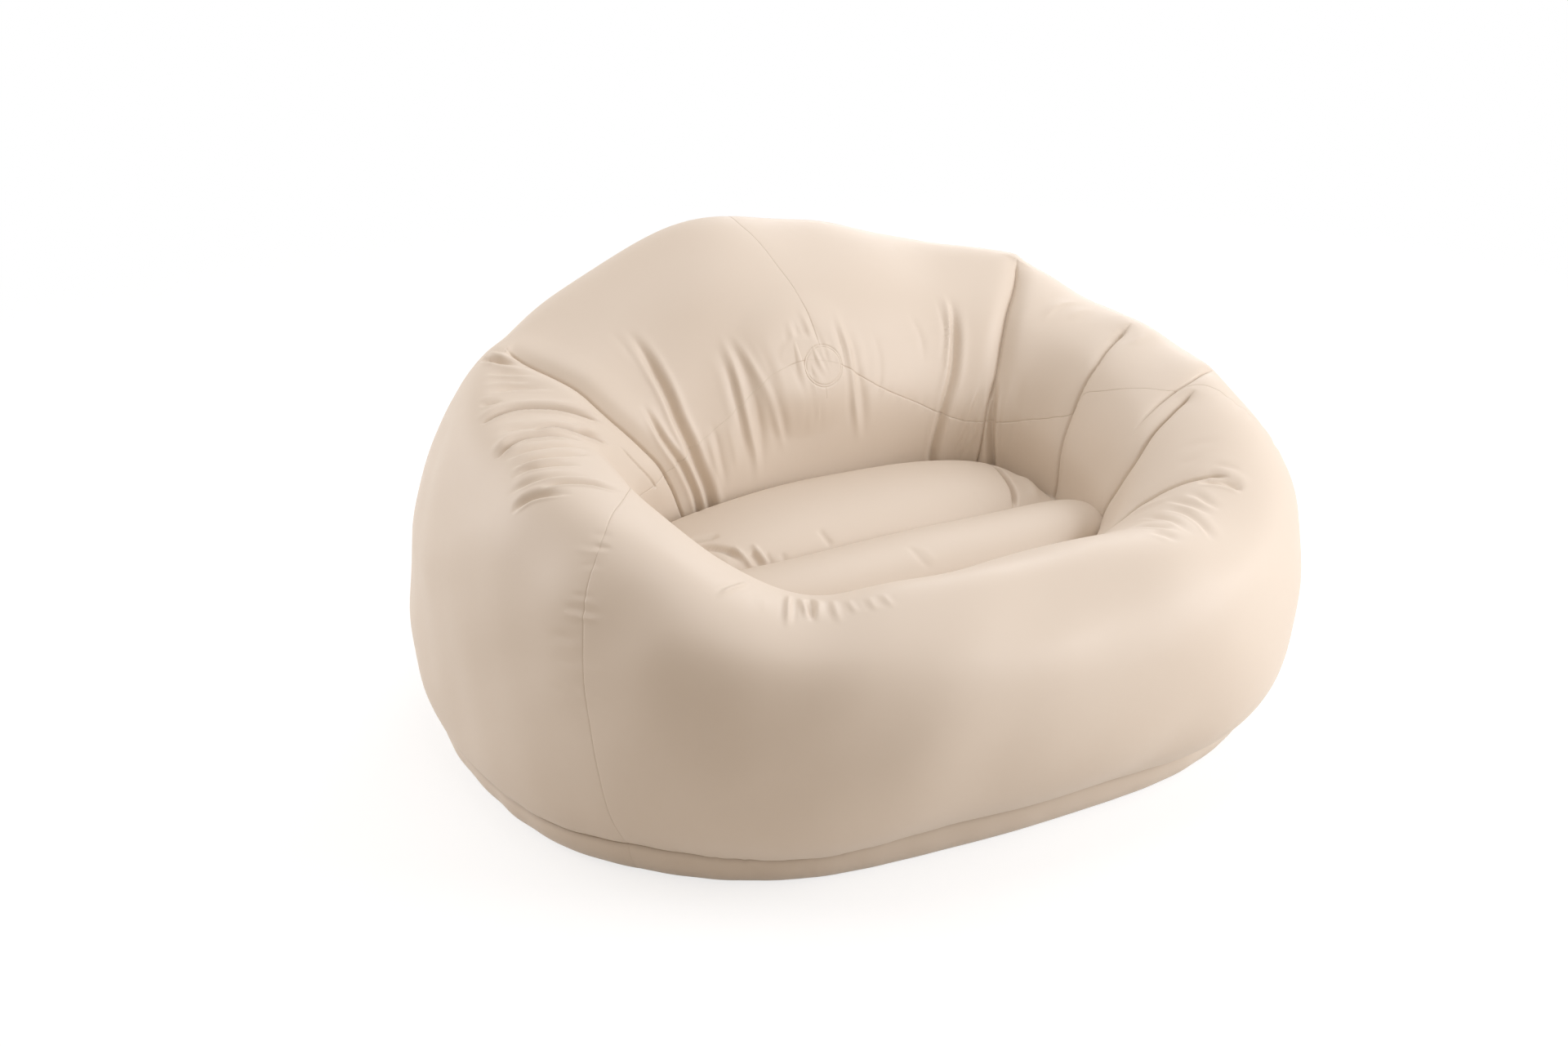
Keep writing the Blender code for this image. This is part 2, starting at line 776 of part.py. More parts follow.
def build_valve_base(frame, group):
    flange_top = -skin_wall - fit_gap
    profile = [(neck_radius, neck_rise), (neck_radius, flange_top),
               (flange_radius, flange_top), (flange_radius, flange_top - flange_thick),
               (neck_radius, flange_top - flange_thick), (neck_radius, -neck_depth),
               (socket_radius, -neck_depth), (socket_radius, neck_rise)]
    item = turned("valve_base", profile, group, moulded_plastic)
    item.parent = frame


def build_valve_seal(frame, group):
    inner = skirt_radius + fit_gap
    outer = neck_radius - fit_gap
    profile = [(outer, seal_low + seal_thick), (outer, seal_low),
               (inner, seal_low), (inner, seal_low + seal_thick)]
    item = turned("valve_seal", profile, group, soft_rubber)
    item.parent = frame


def build_valve_insert(frame, group, cutters):
    """Screw-in plug: gripped head, threaded skirt, nozzle tube and collar."""
    tube = nozzle_radius + nozzle_wall
    skirt_inner = skirt_radius - skirt_wall
    deck = head_low - deck_depth
    profile = [(head_radius, head_top), (head_radius, head_low), (skirt_radius, head_low),
               (skirt_radius, -skirt_depth), (skirt_inner, -skirt_depth), (skirt_inner, deck),
               (tube, deck), (tube, -skirt_depth), (nozzle_radius, -skirt_depth),
               (nozzle_radius, collar_top), (collar_radius, collar_top),
               (collar_radius, head_top)]
    item = turned("valve_insert", profile, group, moulded_plastic)
    item.parent = frame
    bm = bmesh.new()
    for k in range(grip_count):
        angle = 2 * math.pi * (k + 0.5) / grip_count
        place = Vector((head_radius * math.cos(angle), head_radius * math.sin(angle),
                        (head_low + head_top) / 2))
        bmesh.ops.create_cone(bm, cap_ends=True, segments=hole_steps, radius1=grip_radius,
                              radius2=grip_radius, depth=2 * head_thick,
                              matrix=Matrix.Translation(place))
    mesh = bpy.data.meshes.new("grip_cutter")
    bm.to_mesh(mesh)
    bm.free()
    cutter = as_cutter(link_plain("grip_cutter", mesh, cutters), cutters)
    cutter.parent = frame
    add_boolean(item, cutter, "DIFFERENCE")


def build_cap_strap(frame, group, cutters):
    """Ring round the insert's collar with a tongue that ends at the cap's hinge."""
    inner = collar_radius + fit_gap
    outer = inner + strap_ring_wall
    profile = [(outer, strap_top), (outer, strap_low), (inner, strap_low), (inner, strap_top)]
    item = turned("cap_strap", profile, group, strap_plastic)
    item.parent = frame
    tongue = link_plain("tongue_shape", box_mesh(
        "tongue_shape", (-strap_width / 2, (inner + outer) / 2, strap_low),
        (strap_width / 2, strap_reach, strap_top)), cutters)
    as_cutter(tongue, cutters).parent = frame
    add_boolean(item, tongue, "UNION")


def build_valve_cap(frame, group, cutters):
    """Stopper with a tapered plug and an arm down to the hinge; it turns about the hinge."""
    hinge = empty_at("cap_hinge_axis", group, frame, (0.0, hinge_reach, hinge_height))
    plug_end = plug_radius - plug_taper
    plug_low = cap_low - plug_depth
    profile = [(0.0, cap_top), (cap_radius, cap_top), (cap_radius, cap_low),
               (plug_radius, cap_low), (plug_end, plug_low), (0.0, plug_low)]
    item = turned_disc("valve_cap", profile, group, moulded_plastic)
    item.parent = hinge
    item.location = (0.0, -hinge_reach, -hinge_height)
    leg_out = hinge_reach + hinge_leg_wall / 2
    leg_in = hinge_reach - hinge_leg_wall / 2
    arm = link_plain("cap_arm_shape", box_mesh(
        "cap_arm_shape", (-strap_width / 2, cap_radius - strap_thick, cap_low),
        (strap_width / 2, leg_out, cap_low + strap_thick)), cutters)
    leg = link_plain("cap_leg_shape", box_mesh(
        "cap_leg_shape", (-strap_width / 2, leg_in, strap_low),
        (strap_width / 2, leg_out, cap_low + strap_thick / 2)), cutters)
    for shape in (arm, leg):
        as_cutter(shape, cutters).parent = frame
        add_boolean(item, shape, "UNION")


def build_valve_flap(frame, group, cutters):
    """Soft disc under the nozzle tube, hung from its top edge."""
    hinge = empty_at("flap_hinge_axis", group, frame, (0.0, flap_hinge_reach, flap_top))
    profile = [(0.0, flap_top), (flap_radius, flap_top), (flap_radius, flap_top - flap_thick),
               (0.0, flap_top - flap_thick)]
    item = turned_disc("valve_flap", profile, group, soft_rubber)
    item.parent = hinge
    item.location = (0.0, -flap_hinge_reach, -flap_top)
    tab = link_plain("flap_tab_shape", box_mesh(
        "flap_tab_shape", (-flap_tab_width / 2, flap_radius / 2, flap_top - flap_thick),
        (flap_tab_width / 2, flap_hinge_reach + flap_thick / 2, flap_top)), cutters)
    as_cutter(tab, cutters).parent = frame
    add_boolean(item, tab, "UNION")


def build_valve(valve, group, cutters):
    frame = bpy.data.objects.new("valve_frame", None)
    group.objects.link(frame)
    frame.matrix_world = valve_matrix(valve)
    build_valve_base(frame, group)
    build_valve_seal(frame, group)
    build_valve_insert(frame, group, cutters)
    build_cap_strap(frame, group, cutters)
    build_valve_cap(frame, group, cutters)
    build_valve_flap(frame, group, cutters)


def main():
    clear_scene()
    group = new_collection("inflatable_armchair")
    cutters = new_collection("cutters")
    grid, ties, valve = ring_skin()
    build_skin(grid, valve, group, cutters)
    build_bottom(grid, group)
    build_seat(grid, group)
    build_seat_webs(grid, group, cutters)
    build_corner_webs(grid, group)
    build_back_tie(ties, group)
    build_valve(valve, group, cutters)
    bpy.context.view_layer.update()


main()
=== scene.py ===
"""Looks of an inflatable club armchair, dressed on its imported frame.

The air chamber's film is one smooth ring form, written as a function of the angle round the seat
and the share of the way from the base seam, over the crest, to the seat line. Folds, creases and
welds are pressed into that form along paths on the film, the sheet is scored along its seams and
parted into the panels that the real chair is welded from, and each panel stands for its CAD node.
"""
from __future__ import annotations

import logging
import math
from dataclasses import dataclass, field
from enum import Enum
from typing import Callable, NamedTuple, Protocol, Sequence

import bpy
import numpy as np
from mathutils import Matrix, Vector

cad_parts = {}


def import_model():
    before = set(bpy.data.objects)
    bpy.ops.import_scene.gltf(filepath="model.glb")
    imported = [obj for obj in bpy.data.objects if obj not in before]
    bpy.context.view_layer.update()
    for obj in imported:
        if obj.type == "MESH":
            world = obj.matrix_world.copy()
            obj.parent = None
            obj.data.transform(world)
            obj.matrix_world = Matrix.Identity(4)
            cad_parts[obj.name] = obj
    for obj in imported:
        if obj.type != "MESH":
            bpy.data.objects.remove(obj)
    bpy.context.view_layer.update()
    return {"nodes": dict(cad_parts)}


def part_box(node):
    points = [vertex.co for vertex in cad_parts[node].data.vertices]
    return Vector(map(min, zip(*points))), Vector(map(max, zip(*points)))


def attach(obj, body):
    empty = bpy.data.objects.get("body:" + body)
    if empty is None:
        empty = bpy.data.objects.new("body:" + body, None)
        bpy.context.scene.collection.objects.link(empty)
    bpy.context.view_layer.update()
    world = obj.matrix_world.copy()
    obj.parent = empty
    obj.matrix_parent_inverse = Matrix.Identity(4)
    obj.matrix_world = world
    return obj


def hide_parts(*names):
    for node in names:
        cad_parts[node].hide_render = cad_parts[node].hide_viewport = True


LOG = logging.getLogger("armchair")
SEED = 41
HALF_TURN = 180.0
FULL_TURN = 360.0
WHITE = (1.0, 1.0, 1.0, 1.0)
FOLD_SHOULDER = 0.22
FOLD_REACH = 4.5
POINT_SLACK = 0.00012

Colour = tuple[float, float, float, float]
Station = tuple[float, float]
FoldTable = tuple[tuple, ...]
SideOf = Callable[[np.ndarray], np.ndarray]


# Shader expressions


class Channel:
    """A shader socket that takes part in Python expressions on numbers."""

    def __init__(self, bench: "Bench", socket: bpy.types.NodeSocket) -> None:
        """Wraps one output socket of the bench's material."""
        self.bench = bench
        self.socket = socket

    def _math(self, operation: str, first: object, second: object) -> "Channel":
        """Adds one Math node.

        Args:
            operation: Blender's name of the operation.
            first: a number or a channel.
            second: a number or a channel.

        Returns:
            The node's result.
        """
        return self.bench.node("ShaderNodeMath", {"operation": operation}, {0: first, 1: second})

    def __add__(self, other: object) -> "Channel":
        """Sum."""
        return self._math("ADD", self, other)

    __radd__ = __add__

    def __sub__(self, other: object) -> "Channel":
        """Difference."""
        return self._math("SUBTRACT", self, other)

    def __rsub__(self, other: object) -> "Channel":
        """Difference with the number first."""
        return self._math("SUBTRACT", other, self)

    def __mul__(self, other: object) -> "Channel":
        """Product."""
        return self._math("MULTIPLY", self, other)

    __rmul__ = __mul__

    def __pow__(self, other: object) -> "Channel":
        """Power."""
        return self._math("POWER", self, other)


class Bench:
    """A node tree under construction and the one way to add nodes to it."""

    def __init__(self, tree: bpy.types.NodeTree) -> None:
        """Works on a material's or a world's tree."""
        self.tree = tree

    def node(self, kind: str, settings: dict | None = None, sockets: dict | None = None,
             output: int | str = 0) -> Channel:
        """Adds a node.

        Args:
            kind: Blender's type name of the node.
            settings: the node's own options, set before its sockets; stops fills a ramp.
            sockets: values or channels by input name or index.
            output: which output the returned channel reads.

        Returns:
            The chosen output as a channel.
        """
        made = self.tree.nodes.new(kind)
        for key, value in (settings or {}).items():
            if key == "stops":
                self._fill_ramp(made.color_ramp, value)
            else:
                setattr(made, key, value)
        for key, value in (sockets or {}).items():
            self.feed(made.inputs[key], value)
        return Channel(self, made.outputs[output])

    def feed(self, socket: bpy.types.NodeSocket, value: object) -> None:
        """Links a channel to a socket, or sets the socket's own value."""
        if isinstance(value, Channel):
            self.tree.links.new(value.socket, socket)
        else:
            socket.default_value = value

    @staticmethod
    def _fill_ramp(ramp: bpy.types.ColorRamp, stops: Sequence[tuple[float, float]]) -> None:
        """Gives a ramp its grey stops, as (place, level) pairs."""
        for index, (place, level) in enumerate(stops):
            stop = ramp.elements[index] if index < 2 else ramp.elements.new(place)
            stop.position = place
            stop.color = (level, level, level, 1.0)

    def mix(self, first: object, second: object, share: object) -> Channel:
        """Colour between two colours at a share."""
        return self.node("ShaderNodeMix", {"data_type": "RGBA"}, {0: share, 6: first, 7: second},
                         output=2)

    def noise(self, scale: float, detail: float, stretch: Vector | None = None) -> Channel:
        """Noise on object coordinates.

        Args:
            scale: grains per metre.
            detail: octaves.
            stretch: scale of each axis, for a grain with a direction.

        Returns:
            The noise's level, about one half in the mean.
        """
        place = self.node("ShaderNodeTexCoord", output="Object")
        if stretch is not None:
            place = self.node("ShaderNodeMapping", {"vector_type": "POINT"},
                              {"Vector": place, "Scale": stretch})
        return self.node("ShaderNodeTexNoise", None,
                         {"Vector": place, "Scale": scale, "Detail": detail})

    def cells(self, scale: float) -> Channel:
        """Distance to the nearest of many scattered points on object coordinates."""
        place = self.node("ShaderNodeTexCoord", output="Object")
        return self.node("ShaderNodeTexVoronoi", {"feature": "F1"},
                         {"Vector": place, "Scale": scale})

    def attribute(self, name: str) -> Channel:
        """A number painted on the mesh's points."""
        return self.node("ShaderNodeAttribute", {"attribute_name": name}, output="Fac")

    def bump(self, height: Channel, strength: float, distance: float,
             under: Channel | None = None) -> Channel:
        """Normal of a height pattern, stacked over another bump where one is given."""
        sockets = {"Height": height, "Strength": strength, "Distance": distance}
        if under is not None:
            sockets["Normal"] = under
        return self.node("ShaderNodeBump", None, sockets)

    def seen(self) -> Channel:
        """One for what the camera, a gloss or a transmission sees, else zero."""
        rays = [self.node("ShaderNodeLightPath", output=name)
                for name in ("Is Camera Ray", "Is Glossy Ray", "Is Transmission Ray")]
        return self.node("ShaderNodeClamp", None, {"Value": rays[0] + rays[1] + rays[2]})


class MaterialBench(Bench):
    """A material under construction: its tree, with a Principled shader and an output."""

    def __init__(self, name: str) -> None:
        """Starts the material."""
        self.material = bpy.data.materials.new(name)
        self.material.use_nodes = True
        super().__init__(self.material.node_tree)
        self.shader = self.tree.nodes["Principled BSDF"]

    def finish(self, values: dict) -> bpy.types.Material:
        """Feeds the shader's sockets and hands the material over."""
        for name, value in values.items():
            self.feed(self.shader.inputs[name], value)
        return self.material


@dataclass(frozen=True)
class FilmFinish:
    """Satin plasticised PVC film."""

    name: str
    colour: Colour
    deep_colour: Colour
    roughness: float = 0.56
    coat: float = 0.03
    coat_roughness: float = 0.34
    cloud_scale: float = 3.2
    cloud_share: float = 0.35
    grain_scale: float = 1500.0
    grain_height: float = 0.00004
    slack_scale: float = 26.0
    slack_height: float = 0.0009
    seam_and_shadow_colour: Colour = (0.36, 0.28, 0.21, 1.0)
    seam_and_shadow_share: float = 0.13
    worn_share: float = 0.12
    weld_gloss: float = 0.10

    def material(self) -> bpy.types.Material:
        """Builds the material: clouded tone, embossed grain, slack film, darker, glossier welds,
        and a painted shadow line along the base seam's tuck where the mask runs strong.

        Returns:
            The finished material.
        """
        bench = MaterialBench(self.name)
        clouds = bench.noise(self.cloud_scale, 3.0)
        weld_and_shadow = bench.attribute("weld_and_shadow")
        worn = bench.noise(self.slack_scale * 2, 4.0)
        # The seam and shadow colour paints the darker weld lines and, where the mask is strong,
        # painted shadow in the base seam's tuck.
        tone = bench.mix(bench.mix(self.colour, self.deep_colour, clouds * self.cloud_share),
                         self.seam_and_shadow_colour, weld_and_shadow**2 * self.seam_and_shadow_share)
        roughness = self.roughness + (worn - 0.5) * self.worn_share - weld_and_shadow * self.weld_gloss
        slack = bench.bump(bench.noise(self.slack_scale, 1.5), 0.35, self.slack_height)
        grain = bench.bump(bench.cells(self.grain_scale), 0.5, self.grain_height, slack)
        return bench.finish({
            "Base Color": tone, "Roughness": roughness, "Metallic": 0.0, "IOR": 1.5,
            "Coat Weight": self.coat, "Coat Roughness": self.coat_roughness, "Normal": grain})


@dataclass(frozen=True)
class MouldedFinish:
    """Soft moulded plastic with fine flow lines."""

    name: str
    colour: Colour
    deep_colour: Colour
    roughness: float = 0.36
    mottle_scale: float = 60.0
    mottle_share: float = 0.5
    flow_scale: float = 140.0
    flow_share: float = 0.18
    grain_scale: float = 900.0
    grain_height: float = 0.00005

    def material(self) -> bpy.types.Material:
        """Builds the material: mottled tone, uneven gloss and a spark-eroded grain."""
        bench = MaterialBench(self.name)
        mottle = bench.noise(self.mottle_scale, 4.0)
        flow = bench.noise(self.flow_scale, 2.0, Vector((1.0, 0.15, 1.0)))
        grain = bench.bump(bench.noise(self.grain_scale, 3.0), 0.6, self.grain_height)
        return bench.finish({
            "Base Color": bench.mix(self.colour, self.deep_colour, mottle * self.mottle_share),
            "Roughness": self.roughness + (flow - 0.5) * self.flow_share, "Metallic": 0.0,
            "Normal": grain})


# Form of the ring


@dataclass(frozen=True)
class Rail:
    """One line round the ring: reach shares, height shares, squareness and place."""

    place: float
    side: float
    front: float
    back: float
    front_rise: float
    arm_rise: float
    back_rise: float
    front_power: float
    back_power: float
    dip: float = 0.0


RAIL_SHARES = (
    Rail(0.00, 0.961, 0.676, 0.735, 0.0, 0.0, 0.0, 2.6, 2.5),
    Rail(0.10, 0.997, 0.870, 0.924, 0.179, 0.108, 0.128, 2.5, 2.5),
    Rail(0.27, 1.0, 1.0, 1.0, 0.53, 0.508, 0.40, 2.5, 2.5),
    Rail(0.45, 0.896, 0.884, 0.751, 0.855, 0.853, 0.846, 2.55, 2.35, 0.3),
    Rail(0.60, 0.657, 0.573, 0.480, 1.0, 1.0, 1.0, 2.6, 2.8, 1.0),
    Rail(0.72, 0.313, 0.311, 0.214, 0.708, 0.898, 0.86, 2.8, 2.7, 1.0),
    Rail(0.86, 0.075, 0.135, 0.020, 0.208, 0.449, 0.535, 3.8, 3.0, 0.4),
    Rail(1.00, 0.0, 0.0, 0.0, -0.083, 0.0, 0.058, 5.0, 4.0),
)
FIRST_INNER_RAIL = 5
BELLY_RAIL = 2


@dataclass
class RingForm:
    """The smooth inflated ring as a function of angle and share.

    The angle is in degrees from +X towards the back, and the share runs from the base seam (0)
    over the belly and the crest (0.6) down to the seat line (1).
    """

    half_width: float = 0.685
    half_depth: float = 0.635
    back_height: float = 0.74
    arm_height: float = 0.555
    rim_height: float = 0.43
    base_height: float = 0.05
    seat_half_width: float = 0.35
    seat_front: float = 0.265
    seat_back: float = 0.145
    seat_height: float = 0.31
    back_ease: float = 1.6
    front_ease: float = 1.4
    dip_depth: float = 0.045
    dip_angle: float = 42.0
    dip_spread: float = 16.0
    shift: float = 0.0

    def __post_init__(self) -> None:
        """Centres the ring front to back, as the CAD solids are."""
        angle, share = np.meshgrid(np.linspace(-90, 270, 73), np.linspace(0, 1, 41))
        depth = self.point(angle.ravel(), share.ravel())[:, 1]
        self.shift = -(depth.max() + depth.min()) / 2

    def _rail_points(self, angle: np.ndarray) -> np.ndarray:
        """Points of every rail at each angle.

        Each rail is a superellipse in plan with its own reach to the side, front and back. Its
        height eases from the arm to the back and to the front with a power of the sine, and dips
        at the two front corners by exp(-((angle from the front - dip angle) / spread) squared).

        Args:
            angle: n angles in radians.

        Returns:
            An array of rails by n by 3.
        """
        cos, sin = np.cos(angle), np.sin(angle)
        rise = np.clip(sin, 0, 1) ** self.back_ease
        fall = np.clip(-sin, 0, 1) ** self.front_ease
        away = np.abs((np.degrees(angle) + 270.0) % FULL_TURN - HALF_TURN)
        dip = self.dip_depth * np.exp(-((away - self.dip_angle) / self.dip_spread) ** 2)
        made = np.empty((len(RAIL_SHARES), angle.size, 3))
        for index, rail in enumerate(RAIL_SHARES):
            across = self.seat_half_width + rail.side * (self.half_width - self.seat_half_width)
            forward = self.seat_front + rail.front * (self.half_depth - self.seat_front)
            backward = self.seat_back + rail.back * (self.half_depth - self.seat_back)
            reach = np.where(sin > 0, backward, forward)
            power = np.where(sin > 0, rail.back_power, rail.front_power)
            radius = (np.abs(cos / across) ** power + np.abs(sin / reach) ** power) ** (-1 / power)
            floor = self.seat_height if index >= FIRST_INNER_RAIL else self.base_height
            front = floor + rail.front_rise * (self.rim_height - floor)
            arm = floor + rail.arm_rise * (self.arm_height - floor)
            back = floor + rail.back_rise * (self.back_height - floor)
            made[index, :, 0] = radius * cos
            made[index, :, 1] = radius * sin
            made[index, :, 2] = arm + (back - arm) * rise + (front - arm) * fall - dip * rail.dip
        return made

    def point(self, angle: np.ndarray, share: np.ndarray) -> np.ndarray:
        """Points of the smooth form.

        A cubic Hermite curve runs through the rails of each angle; its tangents weigh the
        neighbouring chords, and the belly's has no sideways part, so the belly is upright there.

        Args:
            angle: n angles in degrees.
            share: n shares of the section.

        Returns:
            An array of n by 3.
        """
        rails = self._rail_points(np.radians(angle))
        places = np.array([rail.place for rail in RAIL_SHARES])
        steps = np.diff(places)
        slopes = np.diff(rails, axis=0) / steps[:, None, None]
        tangents = np.empty_like(rails)
        tangents[0], tangents[-1] = slopes[0], slopes[-1]
        before, after = steps[:-1, None, None], steps[1:, None, None]
        tangents[1:-1] = (slopes[:-1] * after + slopes[1:] * before) / (before + after)
        tangents[BELLY_RAIL, :, :2] = 0.0
        index = np.clip(np.searchsorted(places, share, side="right") - 1, 0, len(places) - 2)
        column = np.arange(share.size)
        span = steps[index][:, None]
        t = (share - places[index])[:, None] / span
        start, end = rails[index, column], rails[index + 1, column]
        leave, arrive = tangents[index, column], tangents[index + 1, column]
        made = ((2 * t**3 - 3 * t**2 + 1) * start + (t**3 - 2 * t**2 + t) * span * leave
                + (3 * t**2 - 2 * t**3) * end + (t**3 - t**2) * span * arrive)
        made[:, 1] += self.shift
        return made

    def normal(self, angle: np.ndarray, share: np.ndarray) -> np.ndarray:
        """Outward unit normals, from the cross product of central differences."""
        turn, step = 0.2, 0.0015
        low, high = np.clip(share - step, 0, 1), np.clip(share + step, 0, 1)
        around = self.point(angle + turn, share) - self.point(angle - turn, share)
        along = self.point(angle, high) - self.point(angle, low)
        across = np.cross(around, along)
        return across / np.linalg.norm(across, axis=1, keepdims=True)


def mirrored(stations: Sequence[Station]) -> tuple[Station, ...]:
    """The same path on the other side of the chair."""
    return tuple((HALF_TURN - angle, share) for angle, share in stations)


def smooth_line(points: np.ndarray, steps: int) -> np.ndarray:
    """Catmull-Rom curve through points, steps to a span, ends doubled."""
    padded = np.vstack([2 * points[0] - points[1], points, 2 * points[-1] - points[-2]])
    t = np.linspace(0, 1, steps, endpoint=False)[None, :, None]
    a, b, c, d = (padded[k:len(padded) - 3 + k, None, :] for k in range(4))
    curve = 0.5 * (2 * b + (c - a) * t + (2 * a - 5 * b + 4 * c - d) * t**2
                   + (3 * b - a - 3 * c + d) * t**3)
    return np.vstack([curve.reshape(-1, points.shape[1]), points[-1]])


@dataclass
class FilmPath:
    """A line on the film, through given (angle, share) stations."""

    form: "Surface"
    stations: tuple[Station, ...]
    spacing: float = 0.003
    span_steps: int = 40
    sparse_step: int = 12

    def __post_init__(self) -> None:
        """Runs a smooth curve through the stations and spaces its points evenly."""
        dense = smooth_line(np.array(self.stations, float), self.span_steps)
        points = self.form.point(dense[:, 0], dense[:, 1])
        run = np.concatenate([[0], np.cumsum(np.linalg.norm(np.diff(points, axis=0), axis=1))])
        count = max(int(run[-1] / self.spacing), 4)
        at = np.linspace(0, run[-1], count + 1)
        self.length = float(run[-1])
        self.params = np.column_stack([np.interp(at, run, dense[:, k]) for k in range(2)])
        self.points = np.column_stack([np.interp(at, run, points[:, k]) for k in range(3)])
        self.run = at

    def measure(self, points: np.ndarray, normals: np.ndarray, reach: float
                ) -> tuple[np.ndarray, np.ndarray, np.ndarray]:
        """Distance to the path of the points near it.

        The nearest sample is found first among sparse samples and then among all; the point is
        then dropped on the two segments that meet there. The sign is that of the triple product
        of the normal, the path's direction and the offset, so left of the path is positive.

        Args:
            points: n points of the smooth form.
            normals: their normals.
            reach: how far from the path points still count.

        Returns:
            The indices of the near points, their signed distances and their run along the path.
        """
        low, high = self.points.min(0) - reach, self.points.max(0) + reach
        near = np.flatnonzero(np.all((points > low) & (points < high), axis=1))
        if near.size:
            best = self._nearest(points[near], self.points[::self.sparse_step])[1]
            near = near[best < reach + self.spacing * self.sparse_step]
        if not near.size:
            return near, np.empty(0), np.empty(0)
        index = self._nearest(points[near], self.points)[0]
        offset, run, distance = self._drop(points[near], np.clip(index, 1, None) - 1)
        other = self._drop(points[near], np.clip(index, None, len(self.points) - 2))
        closer = other[2] < distance
        run = np.where(closer, other[1], run)
        distance = np.where(closer, other[2], distance)
        offset = np.where(closer[:, None], other[0], offset)
        ahead = np.gradient(self.points, axis=0)[index]
        across = np.einsum("ij,ij->i", np.cross(normals[near], ahead), offset)
        side = np.where(across < 0, -1.0, 1.0)
        keep = distance < reach
        return near[keep], (side * distance)[keep], run[keep]

    @staticmethod
    def _nearest(points: np.ndarray, samples: np.ndarray, block: int = 20000
                 ) -> tuple[np.ndarray, np.ndarray]:
        """Nearest sample of each point, by squared lengths and dot products.

        Args:
            points: n points.
            samples: the samples to choose from.
            block: how many points are worked out at once.

        Returns:
            The samples' indices and their distances.
        """
        index = np.empty(len(points), int)
        distance = np.empty(len(points))
        square = (samples**2).sum(1)
        for start in range(0, len(points), block):
            part = points[start:start + block]
            table = square[None, :] - 2 * part @ samples.T
            chosen = table.argmin(1)
            index[start:start + block] = chosen
            left = table[np.arange(len(part)), chosen] + (part**2).sum(1)
            distance[start:start + block] = np.sqrt(np.clip(left, 0, None))
        return index, distance

    def _drop(self, points: np.ndarray, segment: np.ndarray
              ) -> tuple[np.ndarray, np.ndarray, np.ndarray]:
        """Offset from, run along and distance to one segment each."""
        start = self.points[segment]
        along = self.points[segment + 1] - start
        share = np.einsum("ij,ij->i", points - start, along) / np.einsum("ij,ij->i", along, along)
        share = np.clip(share, 0, 1)
        offset = points - start - along * share[:, None]
        run = self.run[segment] + share * (self.run[segment + 1] - self.run[segment])
        return offset, run, np.linalg.norm(offset, axis=1)


class Profile(Enum):
    """Cross-section of a fold."""

    CUSP = "cusp"
    BELL = "bell"


@dataclass(frozen=True)
class Fold:
    """A valley (or, with a negative depth, a ridge) pressed into the film along a path."""

    stations: tuple[Station, ...]
    depth: float
    width: float
    profile: Profile = Profile.BELL
    skew: float = 1.0
    fade_in: float = 0.3
    fade_out: float = 0.3
    shoulder: float = 0.0

    def press(self, form: "Surface", points: np.ndarray, normals: np.ndarray,
              height: np.ndarray) -> None:
        """Adds the fold to a height field.

        The height is the depth times a profile of the distance over the width, times two smooth
        ramps that let it die out at its ends. The cusp is exp(-|x|), and the bell is
        exp(-x squared) with a shoulder of the other sign on both sides, about 2.1 widths away.

        Args:
            form: the surface that holds the path.
            points: points of the smooth form.
            normals: their normals.
            height: the field, changed in place.
        """
        path = FilmPath(form, self.stations)
        wide = self.width * max(self.skew, 1 / self.skew)
        near, distance, run = path.measure(points, normals, wide * FOLD_REACH)
        if not near.size:
            return
        width = np.where(distance > 0, self.width * self.skew, self.width / self.skew)
        x = np.abs(distance) / width
        if self.profile is Profile.CUSP:
            shape = (np.exp(-x) - math.exp(-FOLD_REACH)).clip(0)
        else:
            shape = np.exp(-x**2) - self.shoulder * np.exp(-((x - 2.1) / 0.9) ** 2)
        share = run / path.length
        ends = (ramp(share / max(self.fade_in, 1e-3))
                * ramp((1 - share) / max(self.fade_out, 1e-3)))
        height[near] -= self.depth * shape * ends


def ramp(value: np.ndarray) -> np.ndarray:
    """Smooth step from 0 to 1."""
    t = np.clip(value, 0, 1)
    return t * t * (3 - 2 * t)


# Where the photographed seams and folds lie

SIDE_SEAM: tuple[Station, ...] = (
    (-30, 0.0), (-29.8, 0.07), (-29, 0.15), (-27.2, 0.26), (-26, 0.38), (-25, 0.48),
    (-23.5, 0.53), (-22.5, 0.557), (-21, 0.577), (-19.7, 0.607), (-19.2, 0.63), (-18.8, 0.667),
    (-16.5, 0.693), (-12, 0.737), (-9, 0.758), (-5.4, 0.78), (-4.6, 0.82), (-0.5, 0.84),
    (6, 0.863), (12.5, 0.887), (21, 0.902), (28.5, 0.891), (35, 0.878), (47, 0.867),
    (64.5, 0.853), (77.7, 0.851), (90, 0.85),
)
LEFT_SEAM: tuple[Station, ...] = mirrored(
    SIDE_SEAM[:6] + ((-24.6, 0.52), (-23.8, 0.557), (-22.7, 0.593), (-20.5, 0.637),
                     (-17.6, 0.68)) + SIDE_SEAM[13:])
CENTRE_SEAM: tuple[Station, ...] = (
    (90, 0.0), (90, 0.2), (90, 0.45), (91, 0.57), (91.5, 0.62), (90, 0.647),
    (88.3, 0.673), (86.5, 0.707), (84, 0.743), (82.5, 0.77), (80.8, 0.79), (79, 0.813),
    (78, 0.83), (77.7, 0.855),
)
CORNER_RIGHT: tuple[Station, ...] = ((29.6, 0.585), (26, 0.643), (23.5, 0.69), (20.5, 0.753),
                                     (18.2, 0.813), (17.8, 0.87), (18.3, 0.93), (20, 1.0))
